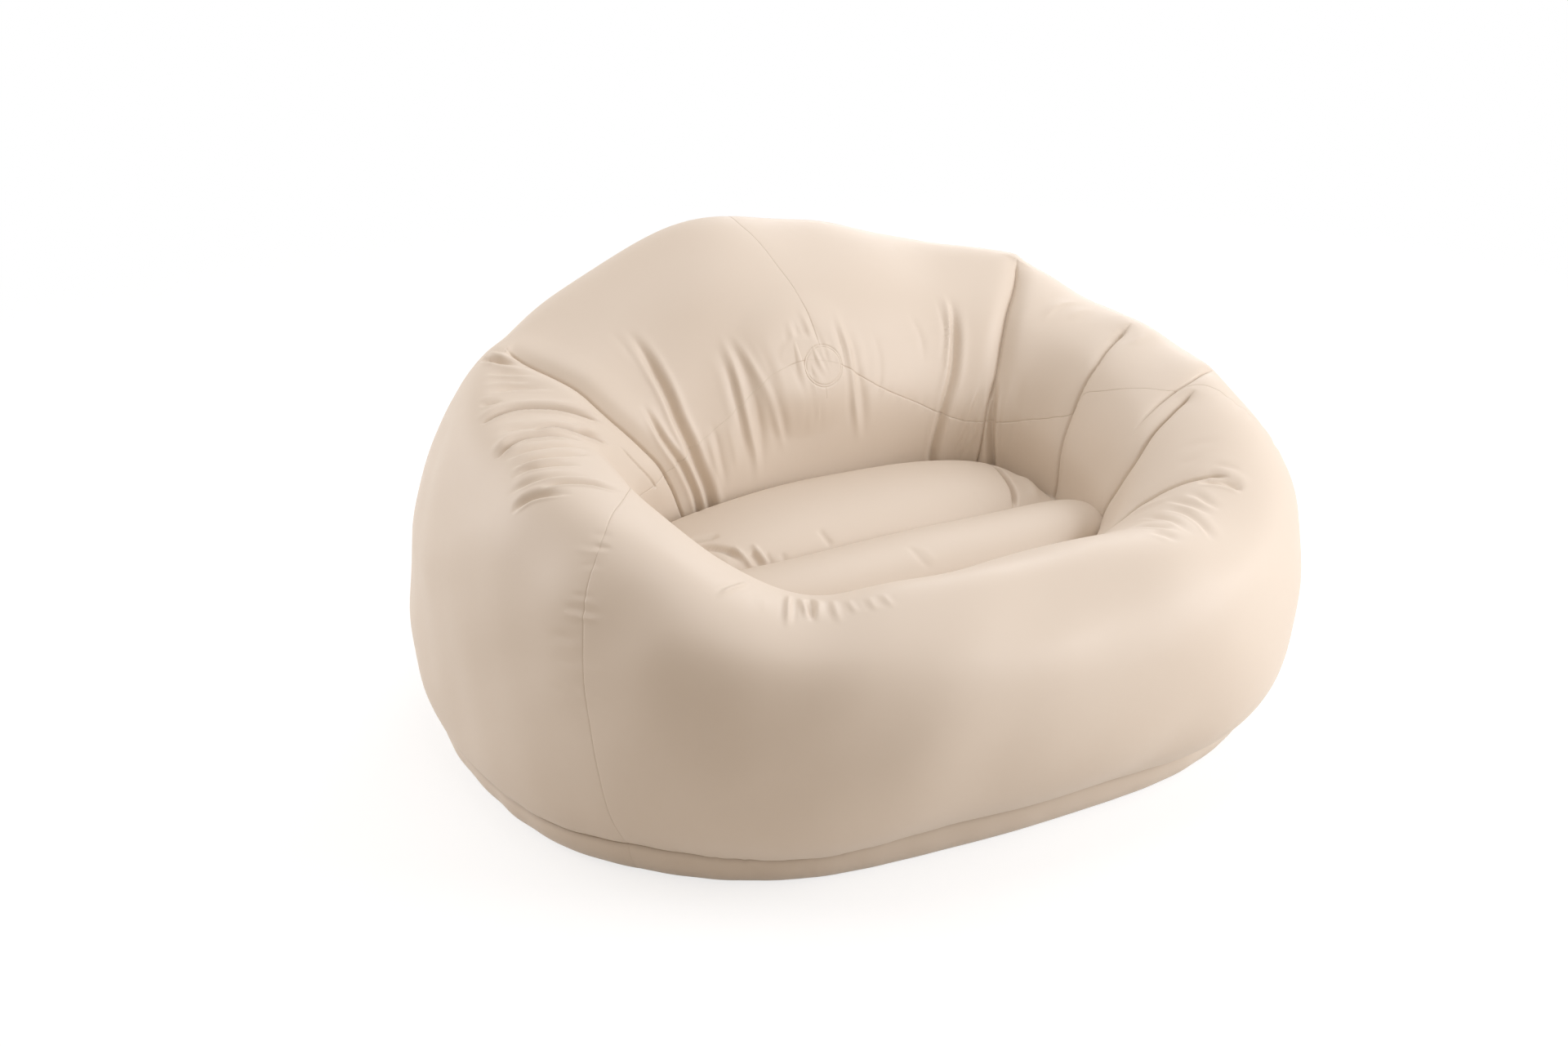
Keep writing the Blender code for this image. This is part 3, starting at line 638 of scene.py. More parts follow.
CORNER_LEFT: tuple[Station, ...] = ((147.5, 0.575), (150, 0.62), (152, 0.655), (154.5, 0.7),
                                    (157, 0.767), (157.2, 0.813), (156, 0.86),
                                    (154, 0.907), (151.5, 0.95), (149, 1.0))

# Arcs that fan out about the outer end of the right arm's last crease
RIGHT_ARM_RIPPLES: FoldTable = (
    (((-42.5, 0.533), (-42, 0.553), (-41.5, 0.58), (-41.5, 0.607)), 0.0075, 0.007, 0.7, 0.3, 0.5),
    (((-38.5, 0.547), (-38.5, 0.573), (-38.5, 0.6), (-39.5, 0.62)), 0.0022, 0.006, 0.8, 0.4, 0.5),
    (((-48.5, 0.55), (-47.5, 0.583), (-46, 0.61), (-45, 0.637)), 0.0032, 0.006, 0.7, 0.4, 0.5),
    (((-51, 0.55), (-50, 0.58), (-48.5, 0.617), (-46.5, 0.653), (-46, 0.667)), 0.0034, 0.006, 0.7,
     0.4, 0.5),
    (((-58, 0.51), (-56, 0.533), (-54, 0.563), (-52, 0.6), (-50.5, 0.63), (-49, 0.657)), 0.0046,
     0.006, 0.65, 0.3),
    (((-59, 0.533), (-58, 0.56), (-56, 0.597), (-54, 0.633), (-51.5, 0.667), (-50.5, 0.693)),
     0.004, 0.006, 0.7),
    (((-59.5, 0.563), (-59.5, 0.587), (-59.5, 0.61), (-59, 0.637), (-60, 0.657), (-59, 0.68)),
     0.0052, 0.0065, 0.65, 0.3, 0.5),
    (((-63, 0.533), (-62.5, 0.557), (-62.5, 0.58), (-63, 0.597)), 0.0036, 0.008, 0.8),
    (((3, 0.625), (1.8, 0.645), (1, 0.68)), 0.004, 0.005, 1.0, 0.3, 0.6),
    (((15.5, 0.71), (16, 0.675), (16, 0.65), (15, 0.62)), -0.0028, 0.007, 1.4, 0.4, 0.5),
    (((12, 0.68), (12.5, 0.65), (12, 0.62)), -0.0014, 0.008, 1.0, 0.4, 0.5),
    (((-3, 0.66), (-2, 0.63), (0, 0.61)), -0.0015, 0.007, 1.0, 0.4, 0.5),
    (((-35, 0.677), (-34, 0.653), (-33.5, 0.623), (-33, 0.587)), 0.0018, 0.007, 1.0, 0.4, 0.5),
    (((-38, 0.67), (-37, 0.64), (-36, 0.62)), 0.0012, 0.007, 1.0, 0.4, 0.5),
    (((-47.5, 0.73), (-46.5, 0.7), (-45.5, 0.67), (-45, 0.65)), -0.0022, 0.006, 1.0, 0.4, 0.5),
    (((-42.3, 0.625), (-42.2, 0.593), (-42.4, 0.57), (-42.6, 0.537)), 0.008, 0.0046, 1.3, 0.35,
     0.35),
)

# The three deepest arcs over the left arm, each with a narrow slit at its foot
UPPER_ARC = ((168, 0.565), (167, 0.605), (165.5, 0.64), (164.5, 0.68), (163.5, 0.715),
             (162, 0.745), (160.5, 0.77))
MIDDLE_ARC = ((173, 0.645), (171.5, 0.68), (171, 0.705), (170.5, 0.73), (168, 0.757),
              (164.5, 0.79))
LOWER_ARC = ((177, 0.55), (176.5, 0.59), (175.5, 0.62), (175, 0.65), (174.5, 0.69),
             (173.5, 0.725))

# The stack of arcs over the left arm, between the corner's pocket and the deep pair
LEFT_ARM_RIPPLES: FoldTable = (
    (((149.5, 0.55), (151, 0.58), (151.8, 0.605), (151.8, 0.635)), 0.006, 0.006, 0.9, 0.3, 0.5),
    (((152.5, 0.585), (153, 0.613), (153, 0.645)), 0.002, 0.006, 1.3, 0.4, 0.5),
    (((155.5, 0.585), (155.5, 0.62), (155, 0.66)), 0.003, 0.006, 1.4, 0.4, 0.5),
    (((158.5, 0.59), (157.5, 0.62), (157, 0.665)), 0.0022, 0.006, 1.4, 0.4, 0.5),
    (((161, 0.59), (160, 0.62), (159, 0.65), (158, 0.69)), 0.0034, 0.007, 1.4, 0.4, 0.5),
    (((163.5, 0.575), (163.5, 0.6), (163, 0.625)), 0.0026, 0.005, 1.3, 0.4, 0.5),
    (UPPER_ARC, 0.0076, 0.0048, 1.5, 0.18, 0.35),
    (((172.5, 0.58), (171.5, 0.62), (171, 0.65), (169, 0.685)), 0.0024, 0.006, 1.4, 0.4, 0.5),
    (MIDDLE_ARC, 0.01, 0.005, 1.7, 0.18, 0.35),
    (LOWER_ARC, 0.0096, 0.0054, 1.6, 0.22, 0.35),
    (((178.5, 0.555), (179, 0.595), (179, 0.64), (178.5, 0.68), (177, 0.73)), 0.0044, 0.006, 1.3,
     0.35, 0.45),
    (((181.5, 0.55), (182, 0.59), (182.5, 0.635), (182, 0.68), (181, 0.715)), 0.0044, 0.006, 1.3,
     0.35, 0.45),
    (((183.5, 0.54), (184, 0.577), (185, 0.61), (185.5, 0.64), (186, 0.675)), 0.0044, 0.006, 1.3,
     0.35, 0.45),
    (((185, 0.51), (186.5, 0.545), (187.5, 0.575), (188.5, 0.605), (189.5, 0.635), (190.5, 0.665)),
     0.0026, 0.0055, 1.3, 0.3, 0.5),
    (((189.6, 0.565), (190.5, 0.59), (191.5, 0.62), (193, 0.65), (194.5, 0.67), (195.5, 0.7)),
     0.0046, 0.005, 1.5, 0.3, 0.5),
    (((188, 0.49), (189.5, 0.53), (190.5, 0.55), (192.5, 0.58), (194.5, 0.61)), 0.004, 0.0055, 1.4,
     0.3, 0.5),
)

# Upright folds in the backrest, hung from the crest and gathered at the seat
BACKREST_FOLDS: FoldTable = (
    (((137, 0.69), (140.5, 0.74), (143, 0.773), (145, 0.803), (146.5, 0.833), (147, 0.87),
     (146, 0.91), (143, 0.957), (141, 1.0)), 0.022, 0.0072, 1.0, 0.3, 0.02),
    (((150.5, 0.78), (152, 0.827), (152, 0.857), (151, 0.885), (149, 0.92), (146.5, 0.96),
     (145, 1.0)), 0.014, 0.005, 1.0, 0.3, 0.02),
    (((139, 0.68), (140.5, 0.703), (142, 0.723), (143.5, 0.745)), 0.0022, 0.007),
    (((142, 0.87), (141, 0.917), (139, 0.95)), -0.003, 0.006),
    (((139.5, 0.85), (139, 0.907), (137, 0.965)), 0.0034, 0.006, 1.0, 0.4, 0.3),
    (((126, 0.77), (127, 0.813), (129, 0.853), (130, 0.893), (128.5, 0.95)), 0.0044, 0.0075, 1.0,
     0.4, 0.3),
    (((122, 0.76), (123.5, 0.8), (125.5, 0.833), (127, 0.867), (126.5, 0.903), (124, 0.94),
     (122, 0.98)), -0.0056, 0.006, 1.0, 0.35, 0.3),
    (((120.5, 0.78), (121, 0.823), (121.5, 0.853), (121.5, 0.89), (120, 0.93), (119, 0.96)),
     0.0052, 0.007, 1.0, 0.35, 0.3),
    (((118.5, 0.77), (118, 0.81), (117, 0.84), (115, 0.873), (112, 0.905), (107.5, 0.937),
     (104, 0.96)), -0.005, 0.006, 1.0, 0.35, 0.35),
    (((112, 0.79), (111, 0.84), (110.5, 0.877), (107.5, 0.917), (105, 0.95)), 0.0036, 0.0075, 1.0,
     0.4, 0.35),
    (((135, 0.86), (134.5, 0.9), (132.5, 0.95)), -0.002, 0.006),
    (((93.5, 0.785), (93, 0.827), (92.5, 0.86), (90.5, 0.895), (86.5, 0.945)), -0.0055, 0.0055,
     1.0, 0.3),
    (((91, 0.79), (89, 0.833), (87, 0.863), (84.5, 0.887), (82.5, 0.91), (80, 0.945)), 0.004,
     0.0052, 1.3, 0.3),
    (((86, 0.775), (83, 0.803), (80, 0.827), (78, 0.85), (77, 0.875)), -0.0048, 0.0052, 1.0, 0.3),
    (((75.5, 0.815), (73.5, 0.84), (71.5, 0.865)), -0.0022, 0.005, 1.0, 0.4, 0.5),
    (((69, 0.79), (66.5, 0.815), (64.5, 0.845), (63.5, 0.875)), 0.0046, 0.0055, 0.8, 0.35, 0.5),
    (((68, 0.77), (65, 0.807), (62.5, 0.83), (61, 0.86), (59.5, 0.89), (57, 0.93), (55.5, 0.955)),
     -0.0056, 0.0055, 1.0, 0.3, 0.35),
    (((64.5, 0.78), (59.5, 0.823), (57, 0.857), (54.5, 0.893), (53, 0.945)), 0.0044, 0.0065, 1.0,
     0.35, 0.35),
    (((89, 0.825), (89, 0.85), (86.5, 0.865), (83, 0.875), (77.5, 0.882)), 0.005, 0.0034, 1.0,
     0.35),
    (((83.5, 0.8), (83, 0.82), (82, 0.837), (79.5, 0.857), (76, 0.875)), -0.0052, 0.0042, 1.0,
     0.35),
    (((80.5, 0.83), (78, 0.85), (74.5, 0.872)), 0.003, 0.0036),
    (((20.5, 0.81), (21, 0.853), (22.5, 0.913), (24.5, 0.957)), -0.0042, 0.0045, 1.0, 0.4, 0.2),
    (((19, 0.87), (20, 0.917), (22, 0.96)), -0.0042, 0.0036, 1.0, 0.4, 0.2),
    (((54, 0.78), (49, 0.817), (47.5, 0.847), (47.5, 0.9)), 0.002, 0.006),
    (((43, 0.745), (37, 0.783), (34, 0.825)), 0.002, 0.006),
    (((38, 0.705), (33.5, 0.75), (31, 0.78), (30, 0.825)), 0.0022, 0.0045, 1.0, 0.35),
    (((36.5, 0.7), (32.5, 0.743), (30.5, 0.78), (29.5, 0.82)), -0.0034, 0.0045, 1.0, 0.35, 0.5),
    (((34.5, 0.7), (31, 0.747), (28.5, 0.787), (27, 0.827), (27, 0.867), (28, 0.913), (29.5, 0.96),
     (30, 1.0)), 0.019, 0.0062, 1.1, 0.3, 0.03),
    (((21, 0.8), (20.5, 0.863), (22, 0.913), (24, 0.963), (25, 1.0)), 0.0036, 0.0048, 1.0, 0.35,
     0.05),
    (((19.8, 0.83), (19.5, 0.873), (21, 0.93), (23, 0.97), (23.5, 1.0)), 0.0036, 0.0044, 1.0, 0.35,
     0.05),
    (((18.4, 0.81), (17.2, 0.84), (16.4, 0.88), (16, 0.94), (15.6, 1.0)), 0.023, 0.005, 0.7, 0.4,
     0.02),
    (((13, 0.79), (11.5, 0.84), (11, 0.887), (11, 0.95)), 0.0034, 0.009, 1.0, 0.4, 0.3),
    (((14.8, 0.8), (14, 0.85), (13.6, 0.9), (13.6, 0.97)), -0.0026, 0.007, 1.0, 0.4, 0.2),
)

# Short pulls over the front rim, at the sitter's right knee
RIM_PUCKERS: FoldTable = (
    (((220.5, 0.535), (220.5, 0.59), (221, 0.63), (221.2, 0.673)), 0.0012, 0.005, 0.7, 0.3),
    (((220.6, 0.55), (221.2, 0.59), (221.8, 0.627), (221.9, 0.667)), -0.0064, 0.0046, 1.0, 0.3),
    (((228, 0.683), (229, 0.637), (230, 0.567), (230.5, 0.52)), -0.007, 0.0044, 1.0, 0.45, 0.3),
    (((229.5, 0.65), (230.5, 0.603), (231.4, 0.547)), 0.0014, 0.005, 1.0, 0.5, 0.35),
    (((230, 0.667), (232, 0.593), (233, 0.55)), -0.0042, 0.004, 1.0, 0.45, 0.35),
    (((231.5, 0.667), (232.6, 0.62), (233.2, 0.57), (233.5, 0.545)), 0.009, 0.0042, 1.0, 0.4,
     0.35),
    (((233.5, 0.65), (234, 0.61), (234.5, 0.54)), -0.0036, 0.0056, 1.0, 0.45),
    (((235, 0.63), (235.5, 0.597), (236, 0.545)), 0.0008, 0.005, 1.0, 0.45),
    (((235.5, 0.637), (237, 0.557), (238, 0.53)), -0.0032, 0.005, 1.0, 0.45),
    (((237.5, 0.623), (238.5, 0.575), (239, 0.54)), 0.0006, 0.0046, 1.0, 0.45),
    (((238, 0.617), (239, 0.577), (240, 0.55)), -0.0022, 0.0046, 1.0, 0.45),
    (((240, 0.61), (241, 0.57), (241.5, 0.55)), 0.0005, 0.0046, 1.0, 0.45),
    (((241.5, 0.605), (242, 0.573), (243, 0.547)), -0.002, 0.0046, 1.0, 0.45),
    (((242.5, 0.607), (243.5, 0.57), (244.5, 0.55)), 0.0004, 0.0046, 1.0, 0.45),
    (((243.5, 0.605), (244.5, 0.57), (245.5, 0.547)), -0.0018, 0.0046, 1.0, 0.45),
    (((224, 0.63), (224.5, 0.6), (225, 0.56)), 0.0012, 0.007),
    (((226, 0.62), (226.5, 0.585), (227, 0.55)), -0.001, 0.006),
)

# Short pulls across the left front corner seam
CORNER_SEAM_PULLS: FoldTable = (
    (((201.5, 0.55), (203.5, 0.568), (205, 0.578)), 0.0022, 0.006),
    (((203, 0.535), (204, 0.54), (206, 0.552)), 0.0034, 0.0042),
    (((200.5, 0.512), (203, 0.52), (206, 0.535)), -0.0024, 0.005),
    (((202.5, 0.486), (204.5, 0.503), (206.5, 0.513)), 0.002, 0.005),
    (((203, 0.436), (207, 0.455)), 0.0018, 0.004),
    (((202, 0.412), (205.5, 0.423), (209, 0.432)), 0.0036, 0.005),
    (((202, 0.398), (205.5, 0.408), (208.5, 0.418)), -0.0028, 0.0045),
    (((200.5, 0.358), (203.5, 0.367), (206, 0.373)), 0.0026, 0.006, 1.0, 0.4, 0.3),
    (((200.5, 0.342), (203.5, 0.35), (206, 0.356)), -0.0016, 0.006, 1.0, 0.4, 0.3),
    (((200.5, 0.32), (203.5, 0.328), (206.5, 0.337)), 0.0024, 0.006, 1.0, 0.4, 0.3),
    (((206.2, 0.33), (208.5, 0.338), (210.5, 0.344)), -0.0014, 0.006),
    (((201, 0.283), (205, 0.289), (206.5, 0.292)), 0.0024, 0.006, 1.0, 0.4, 0.2),
    (((206.5, 0.292), (208.5, 0.296), (211, 0.3)), -0.0018, 0.006, 1.0, 0.3),
    (((201, 0.25), (205, 0.258), (207, 0.262)), 0.002, 0.006, 1.0, 0.4, 0.2),
    (((206.5, 0.262), (209, 0.266), (211, 0.27)), -0.0016, 0.006, 1.0, 0.3),
)

# Gathers at the left corner, and the dart that parts the rear tube's right end, by (across, along)
SEAT_GATHERS: FoldTable = (
    (((0.03, 0.69), (0.052, 0.662), (0.08, 0.626), (0.104, 0.572), (0.112, 0.53)), 0.01, 0.006),
    (((0.045, 0.71), (0.062, 0.7), (0.08, 0.684), (0.105, 0.668)), 0.005, 0.005),
    (((0.045, 0.64), (0.062, 0.602), (0.072, 0.558), (0.084, 0.52)), 0.009, 0.006),
    (((0.108, 0.6), (0.113, 0.57), (0.12, 0.538), (0.126, 0.51)), -0.006, 0.005),
    (((0.135, 0.56), (0.139, 0.532), (0.144, 0.508)), 0.0065, 0.005),
    (((0.144, 0.585), (0.148, 0.555), (0.153, 0.534), (0.16, 0.51)), -0.0045, 0.0045),
    (((0.162, 0.545), (0.165, 0.52), (0.168, 0.505)), 0.003, 0.004),
    (((0.196, 0.53), (0.2, 0.505)), 0.002, 0.005),
    (((0.316, 0.57), (0.322, 0.548), (0.327, 0.532), (0.338, 0.51)), 0.0032, 0.0055),
    (((0.47, 0.24), (0.467, 0.19), (0.466, 0.12), (0.48, 0.05)), 0.0016, 0.006),
    (((0.5, 0.2), (0.5, 0.14), (0.51, 0.07)), -0.001, 0.007),
    (((0.975, 0.88), (0.957, 0.78), (0.943, 0.69), (0.933, 0.62), (0.924, 0.57), (0.912, 0.53),
     (0.902, 0.503)), 0.016, 0.0036),
    (((0.99, 0.76), (0.978, 0.65), (0.966, 0.58), (0.955, 0.53)), -0.004, 0.011),
    (((0.86, 0.6), (0.84, 0.56), (0.83, 0.52)), 0.0016, 0.007),
)


def right_arm_creases() -> list[Fold]:
    """The creases that part the right arm into bulging sections, each a valley with a slit."""
    second = ((3.5, 0.605), (1.5, 0.65), (-0.5, 0.687), (-2.5, 0.72), (-3.5, 0.76), (-4.5, 0.8),
              (-6, 0.853), (-7, 0.89), (-8, 0.95), (-8, 1.0))
    third = ((-13.5, 0.54), (-14.5, 0.565), (-16, 0.593), (-18, 0.63), (-19.5, 0.66),
             (-21.5, 0.69), (-23.5, 0.717), (-25, 0.743), (-26.5, 0.77))
    third_low = ((-20.5, 0.625), (-23.5, 0.663), (-25.5, 0.685), (-27.5, 0.71), (-29.5, 0.735),
                 (-31, 0.76), (-31.5, 0.785), (-31.5, 0.83), (-31, 0.9), (-30.5, 1.0))
    fourth = ((-40.5, 0.567), (-40.5, 0.6), (-41, 0.627), (-41.5, 0.65), (-42.5, 0.677),
              (-43.5, 0.697), (-44.5, 0.72), (-47, 0.76), (-49, 0.82), (-50, 0.9))
    rows = ((second, 0.0085, 0.01, 0.0045, 0.0018), (third, 0.0065, 0.009, 0.004, 0.0018),
            (third_low, 0.0105, 0.011, 0.0065, 0.0024), (fourth, 0.0075, 0.01, 0.005, 0.002))
    folds = []
    for path, depth, width, slit_depth, slit_width in rows:
        end = 0.45 if path is third else 0.02
        folds.append(Fold(path, depth, width, Profile.CUSP, fade_in=0.12, fade_out=end))
        folds.append(Fold(path, slit_depth, slit_width, Profile.BELL, fade_in=0.1, fade_out=end))
    return folds


def left_arm_creases() -> list[Fold]:
    """The thin crease that runs down the inside of the left arm."""
    path = ((163, 0.8), (162.5, 0.813), (161.5, 0.843), (160, 0.873), (157.5, 0.91))
    return [Fold(path, 0.0014, 0.004, Profile.CUSP, fade_in=0.35, fade_out=0.05),
            Fold(path, 0.002, 0.0015, Profile.BELL, fade_in=0.25, fade_out=0.05)]


class FoldRow(NamedTuple):
    """One fold of a table; a row leaves out the last numbers where they are the usual ones."""

    stations: tuple[Station, ...]
    depth: float
    width: float
    skew: float = 1.0
    fade_in: float = 0.4
    fade_out: float = 0.4


def folds_of(rows: FoldTable, strength: float) -> list[Fold]:
    """Soft-shouldered folds from a table.

    Args:
        rows: the values of one FoldRow each.
        strength: what every depth is multiplied by.

    Returns:
        The folds in the table's order.
    """
    entries = [FoldRow(*row) for row in rows]
    return [Fold(row.stations, row.depth * strength, row.width, Profile.BELL, row.skew,
                 row.fade_in, row.fade_out, FOLD_SHOULDER) for row in entries]


@dataclass(frozen=True)
class Puckers:
    """A row of small pulls across a seam."""

    stations: tuple[Station, ...]
    start: float
    end: float
    height: float
    wavelength: float
    reach: float
    seed: int
    waves: int = 3
    fade: float = 0.08

    def press(self, form: RingForm, points: np.ndarray, normals: np.ndarray,
              height: np.ndarray) -> None:
        """Adds the row to a height field.

        The height is the hyperbolic tangent of a sum of sines of the run along the seam,
        times a bell of the distance and smooth ramps at the row's ends.

        Args:
            form: the ring form that holds the seam.
            points: points of the smooth form.
            normals: their normals.
            height: the field, changed in place.
        """
        path = FilmPath(form, self.stations)
        near, distance, run = path.measure(points, normals, self.reach * 3)
        draw = np.random.default_rng(self.seed)
        wave = np.zeros(near.size)
        for _ in range(self.waves):
            length = self.wavelength * draw.uniform(0.75, 1.6)
            tilt = draw.uniform(-0.25, 0.25)
            wave += np.sin(2 * np.pi * (run + tilt * np.abs(distance)) / length
                           + draw.uniform(0, 2 * np.pi))
        share = run / path.length
        ends = ramp((share - self.start) / self.fade) * ramp((self.end - share) / self.fade)
        bell = np.exp(-(distance / self.reach) ** 2)
        height[near] += self.height * np.tanh(wave) * bell * ends


def cell_triangles(index: np.ndarray, turned: bool = False) -> np.ndarray:
    """Two triangles for each cell of a grid of point numbers.

    Args:
        index: the point numbers, row by row; a ring repeats its first column at its end.
        turned: whether the triangles face the other way.

    Returns:
        An array of triangles by 3.
    """
    a, b = index[:-1, :-1].ravel(), index[:-1, 1:].ravel()
    c, d = index[1:, 1:].ravel(), index[1:, :-1].ravel()
    if turned:
        return np.vstack([np.column_stack([a, c, b]), np.column_stack([a, d, c])])
    return np.vstack([np.column_stack([a, b, c]), np.column_stack([a, c, d])])


def row_shares(rows: int) -> np.ndarray:
    """Shares of the sheet's rows, from the base seam to the seat line.

    Rows stand close at the tucked base seam, wide apart on the plain belly and close again above
    it: the density is read off along the share, summed, and divided into equal parts.

    Args:
        rows: cells from the base seam to the seat line.

    Returns:
        rows + 1 shares.
    """
    tuck = np.array([0.0, 0.0015, 0.004, 0.0075, 0.012, 0.017, 0.023])
    places = np.array([0.023, 0.24, 0.30, 0.99, 1.0])
    density = np.array([0.6, 0.6, 2.0, 2.0, 2.0])
    fine = np.linspace(places[0], 1.0, 2000)
    total = np.cumsum(np.interp(fine, places, density))
    even = np.interp(np.linspace(total[0], total[-1], rows - len(tuck) + 2), total, fine)
    return np.concatenate([tuck[:-1], even])


def column_angles(columns: int) -> np.ndarray:
    """Angles of the sheet's columns, once round from the front's middle.

    Columns stand close over the arms and the rim's puckers: the density is read off along the
    angle, summed, and divided into equal parts.

    Args:
        columns: cells round the ring.

    Returns:
        columns + 1 angles in degrees.
    """
    places = np.array([-90.0, -68.0, -63.0, 22.0, 27.0, 142.0, 147.0, 196.0, 200.0, 217.0, 220.0,
                       246.0, 250.0, 270.0])
    density = np.array([1.0, 1.0, 1.8, 1.8, 1.0, 1.0, 2.6, 2.6, 1.2, 1.2, 2.2, 2.2, 1.0, 1.0])
    fine = np.linspace(places[0], places[-1], 8000)
    total = np.cumsum(np.interp(fine, places, density))
    return np.interp(np.linspace(total[0], total[-1], columns + 1), total, fine)


class FilmSheet:
    """The ring's film as triangles over angle and share, which can be scored along lines."""

    def __init__(self, form: RingForm, columns: int, rows: int) -> None:
        """Lays out a regular grid from the front's middle right round to it again.

        Args:
            form: the ring form.
            columns: cells round the ring.
            rows: cells from the base seam to the seat line.
        """
        self.form = form
        angle, share = np.meshgrid(column_angles(columns), row_shares(rows))
        self.params = np.column_stack([angle.ravel(), share.ravel()])
        index = np.arange(self.params.shape[0]).reshape(share.shape)
        index[:, -1] = index[:, 0]
        self.triangles = cell_triangles(index)
        self.fields: dict[str, np.ndarray] = {}

    def score(self, name: str, levels: Sequence[float], slack: float) -> None:
        """Cuts every triangle along level lines of a field.

        A point closer to the level than the slack counts as on it. An edge whose ends lie on
        either side gets a new point where the field, taken as linear, meets the level.

        Args:
            name: which field.
            levels: the field's values to cut along.
            slack: how near counts as on the line.
        """
        far = np.abs(self.fields[name]).max() * 0.98
        for level in levels:
            value = self.fields[name] - level
            value[np.abs(value) < slack] = 0.0
            sign = np.sign(value).astype(int)
            corner = sign[self.triangles]
            close = np.abs(self.fields[name])[self.triangles].max(1) < far
            crossed = (corner.min(1) < 0) & (corner.max(1) > 0)
            if (crossed & close).any():
                self._split(np.flatnonzero(crossed & close), np.flatnonzero(crossed & ~close),
                            value, sign)

    def _split(self, chosen: np.ndarray, beside: np.ndarray, value: np.ndarray,
               sign: np.ndarray) -> None:
        """Replaces the chosen triangles by their parts on either side of the zero line.

        Args:
            chosen: rows of the triangles to cut.
            beside: rows of the others that the line meets; the ones that share a cut edge are
                halved, so that the sheet stays closed.
            value: the field less the level.
            sign: its sign.
        """
        part = self.triangles[chosen]
        signs = sign[part]
        touching = (signs == 0).any(1)
        lone = np.where(touching, np.argmax(signs == 0, axis=1),
                        np.argmax(signs == -np.sign(signs.sum(1))[:, None], axis=1))
        order = (lone[:, None] + np.arange(3)[None, :]) % 3
        part = np.take_along_axis(part, order, axis=1)
        first = np.where(touching[:, None], part[:, [1, 2]], part[:, [0, 1]])
        second = part[~touching][:, [0, 2]]
        edges = np.sort(np.vstack([first, second]), axis=1)
        unique, where = np.unique(edges, axis=0, return_inverse=True)
        where = where.ravel()
        share = value[unique[:, 0]] / (value[unique[:, 0]] - value[unique[:, 1]])
        fresh = len(self.params) + where
        shared, halves = self._halve(self.triangles[beside], unique, len(self.params))
        self._extend(unique, share)
        one = part[touching]
        point = fresh[:len(part)][touching]
        two = part[~touching]
        p, q = fresh[:len(part)][~touching], fresh[len(part):]
        parts = [
            np.column_stack([one[:, 0], one[:, 1], point]),
            np.column_stack([one[:, 0], point, one[:, 2]]),
            np.column_stack([two[:, 0], p, q]),
            np.column_stack([p, two[:, 1], two[:, 2]]),
            np.column_stack([p, two[:, 2], q]),
        ]
        kept = np.delete(self.triangles, np.concatenate([chosen, beside[shared]]), axis=0)
        self.triangles = np.vstack([kept, *parts, halves])

    @staticmethod
    def _halve(part: np.ndarray, edges: np.ndarray, total: int) -> tuple[np.ndarray, np.ndarray]:
        """Halves the triangles that hold a cut edge.

        Args:
            part: n triangles.
            edges: the cut edges in order; edge k has the new point total + k.
            total: the number of points before the cut.

        Returns:
            The rows of the triangles that hold one, and the halves.
        """
        keys = edges[:, 0] * total + edges[:, 1]
        sides = np.sort(np.stack([part, np.roll(part, -1, axis=1)], axis=2), axis=2)
        found = sides[..., 0] * total + sides[..., 1]
        held = np.isin(found, keys)
        rows = np.flatnonzero(held.any(1))
        turn = np.argmax(held[rows], axis=1)
        a, b, c = np.take_along_axis(part[rows], (turn[:, None] + np.arange(3)) % 3, axis=1).T
        point = total + np.searchsorted(keys, found[rows, turn])
        return rows, np.vstack([np.column_stack([a, point, c]), np.column_stack([point, b, c])])

    def _extend(self, edges: np.ndarray, share: np.ndarray) -> None:
        """Adds points part of the way along edges, with every field read off linearly."""
        a, b = edges[:, 0], edges[:, 1]
        blend = self.params[a] + (self.params[b] - self.params[a]) * share[:, None]
        self.params = np.vstack([self.params, blend])
        for name, values in self.fields.items():
            fresh = values[a] + (values[b] - values[a]) * share
            self.fields[name] = np.concatenate([values, fresh])

    def signed_field(self, name: str, paths: Sequence[FilmPath], reach: float) -> None:
        """Stores the distance to the nearest of some paths, positive to their left.

        Args:
            name: the field's name.
            paths: the lines to measure from; points beyond their ends don't count.
            reach: distances past it are stored as the reach.
        """
        points = self.form.point(self.params[:, 0], self.params[:, 1])
        normals = self.form.normal(self.params[:, 0], self.params[:, 1])
        best = np.full(len(points), reach)
        for path in paths:
            near, distance, run = path.measure(points, normals, reach)
            closer = ((run > 0) & (run < path.length)
                      & (np.abs(distance) < np.abs(best[near])))
            best[near[closer]] = distance[closer]
        self.fields[name] = best

    def distance_field(self, name: str, paths: Sequence[FilmPath], reach: float,
                       sign: SideOf) -> None:
        """Stores the signed distance to the nearest of some paths.

        Args:
            name: the field's name.
            paths: the lines to measure from.
            reach: distances past it are stored as the reach.
            sign: gives +1 or -1 for each (angle, share) row.
        """
        points = self.form.point(self.params[:, 0], self.params[:, 1])
        best = np.full(len(points), reach)
        for path in paths:
            near, distance, _ = path.measure(points, points, reach)
            best[near] = np.minimum(best[near], np.abs(distance))
        self.fields[name] = best * sign(self.params)


def both_sides(levels: Sequence[float]) -> tuple[float, ...]:
    """Levels on both sides of a line and the line itself, rising."""
    return (*(-level for level in reversed(levels)), 0.0, *levels)


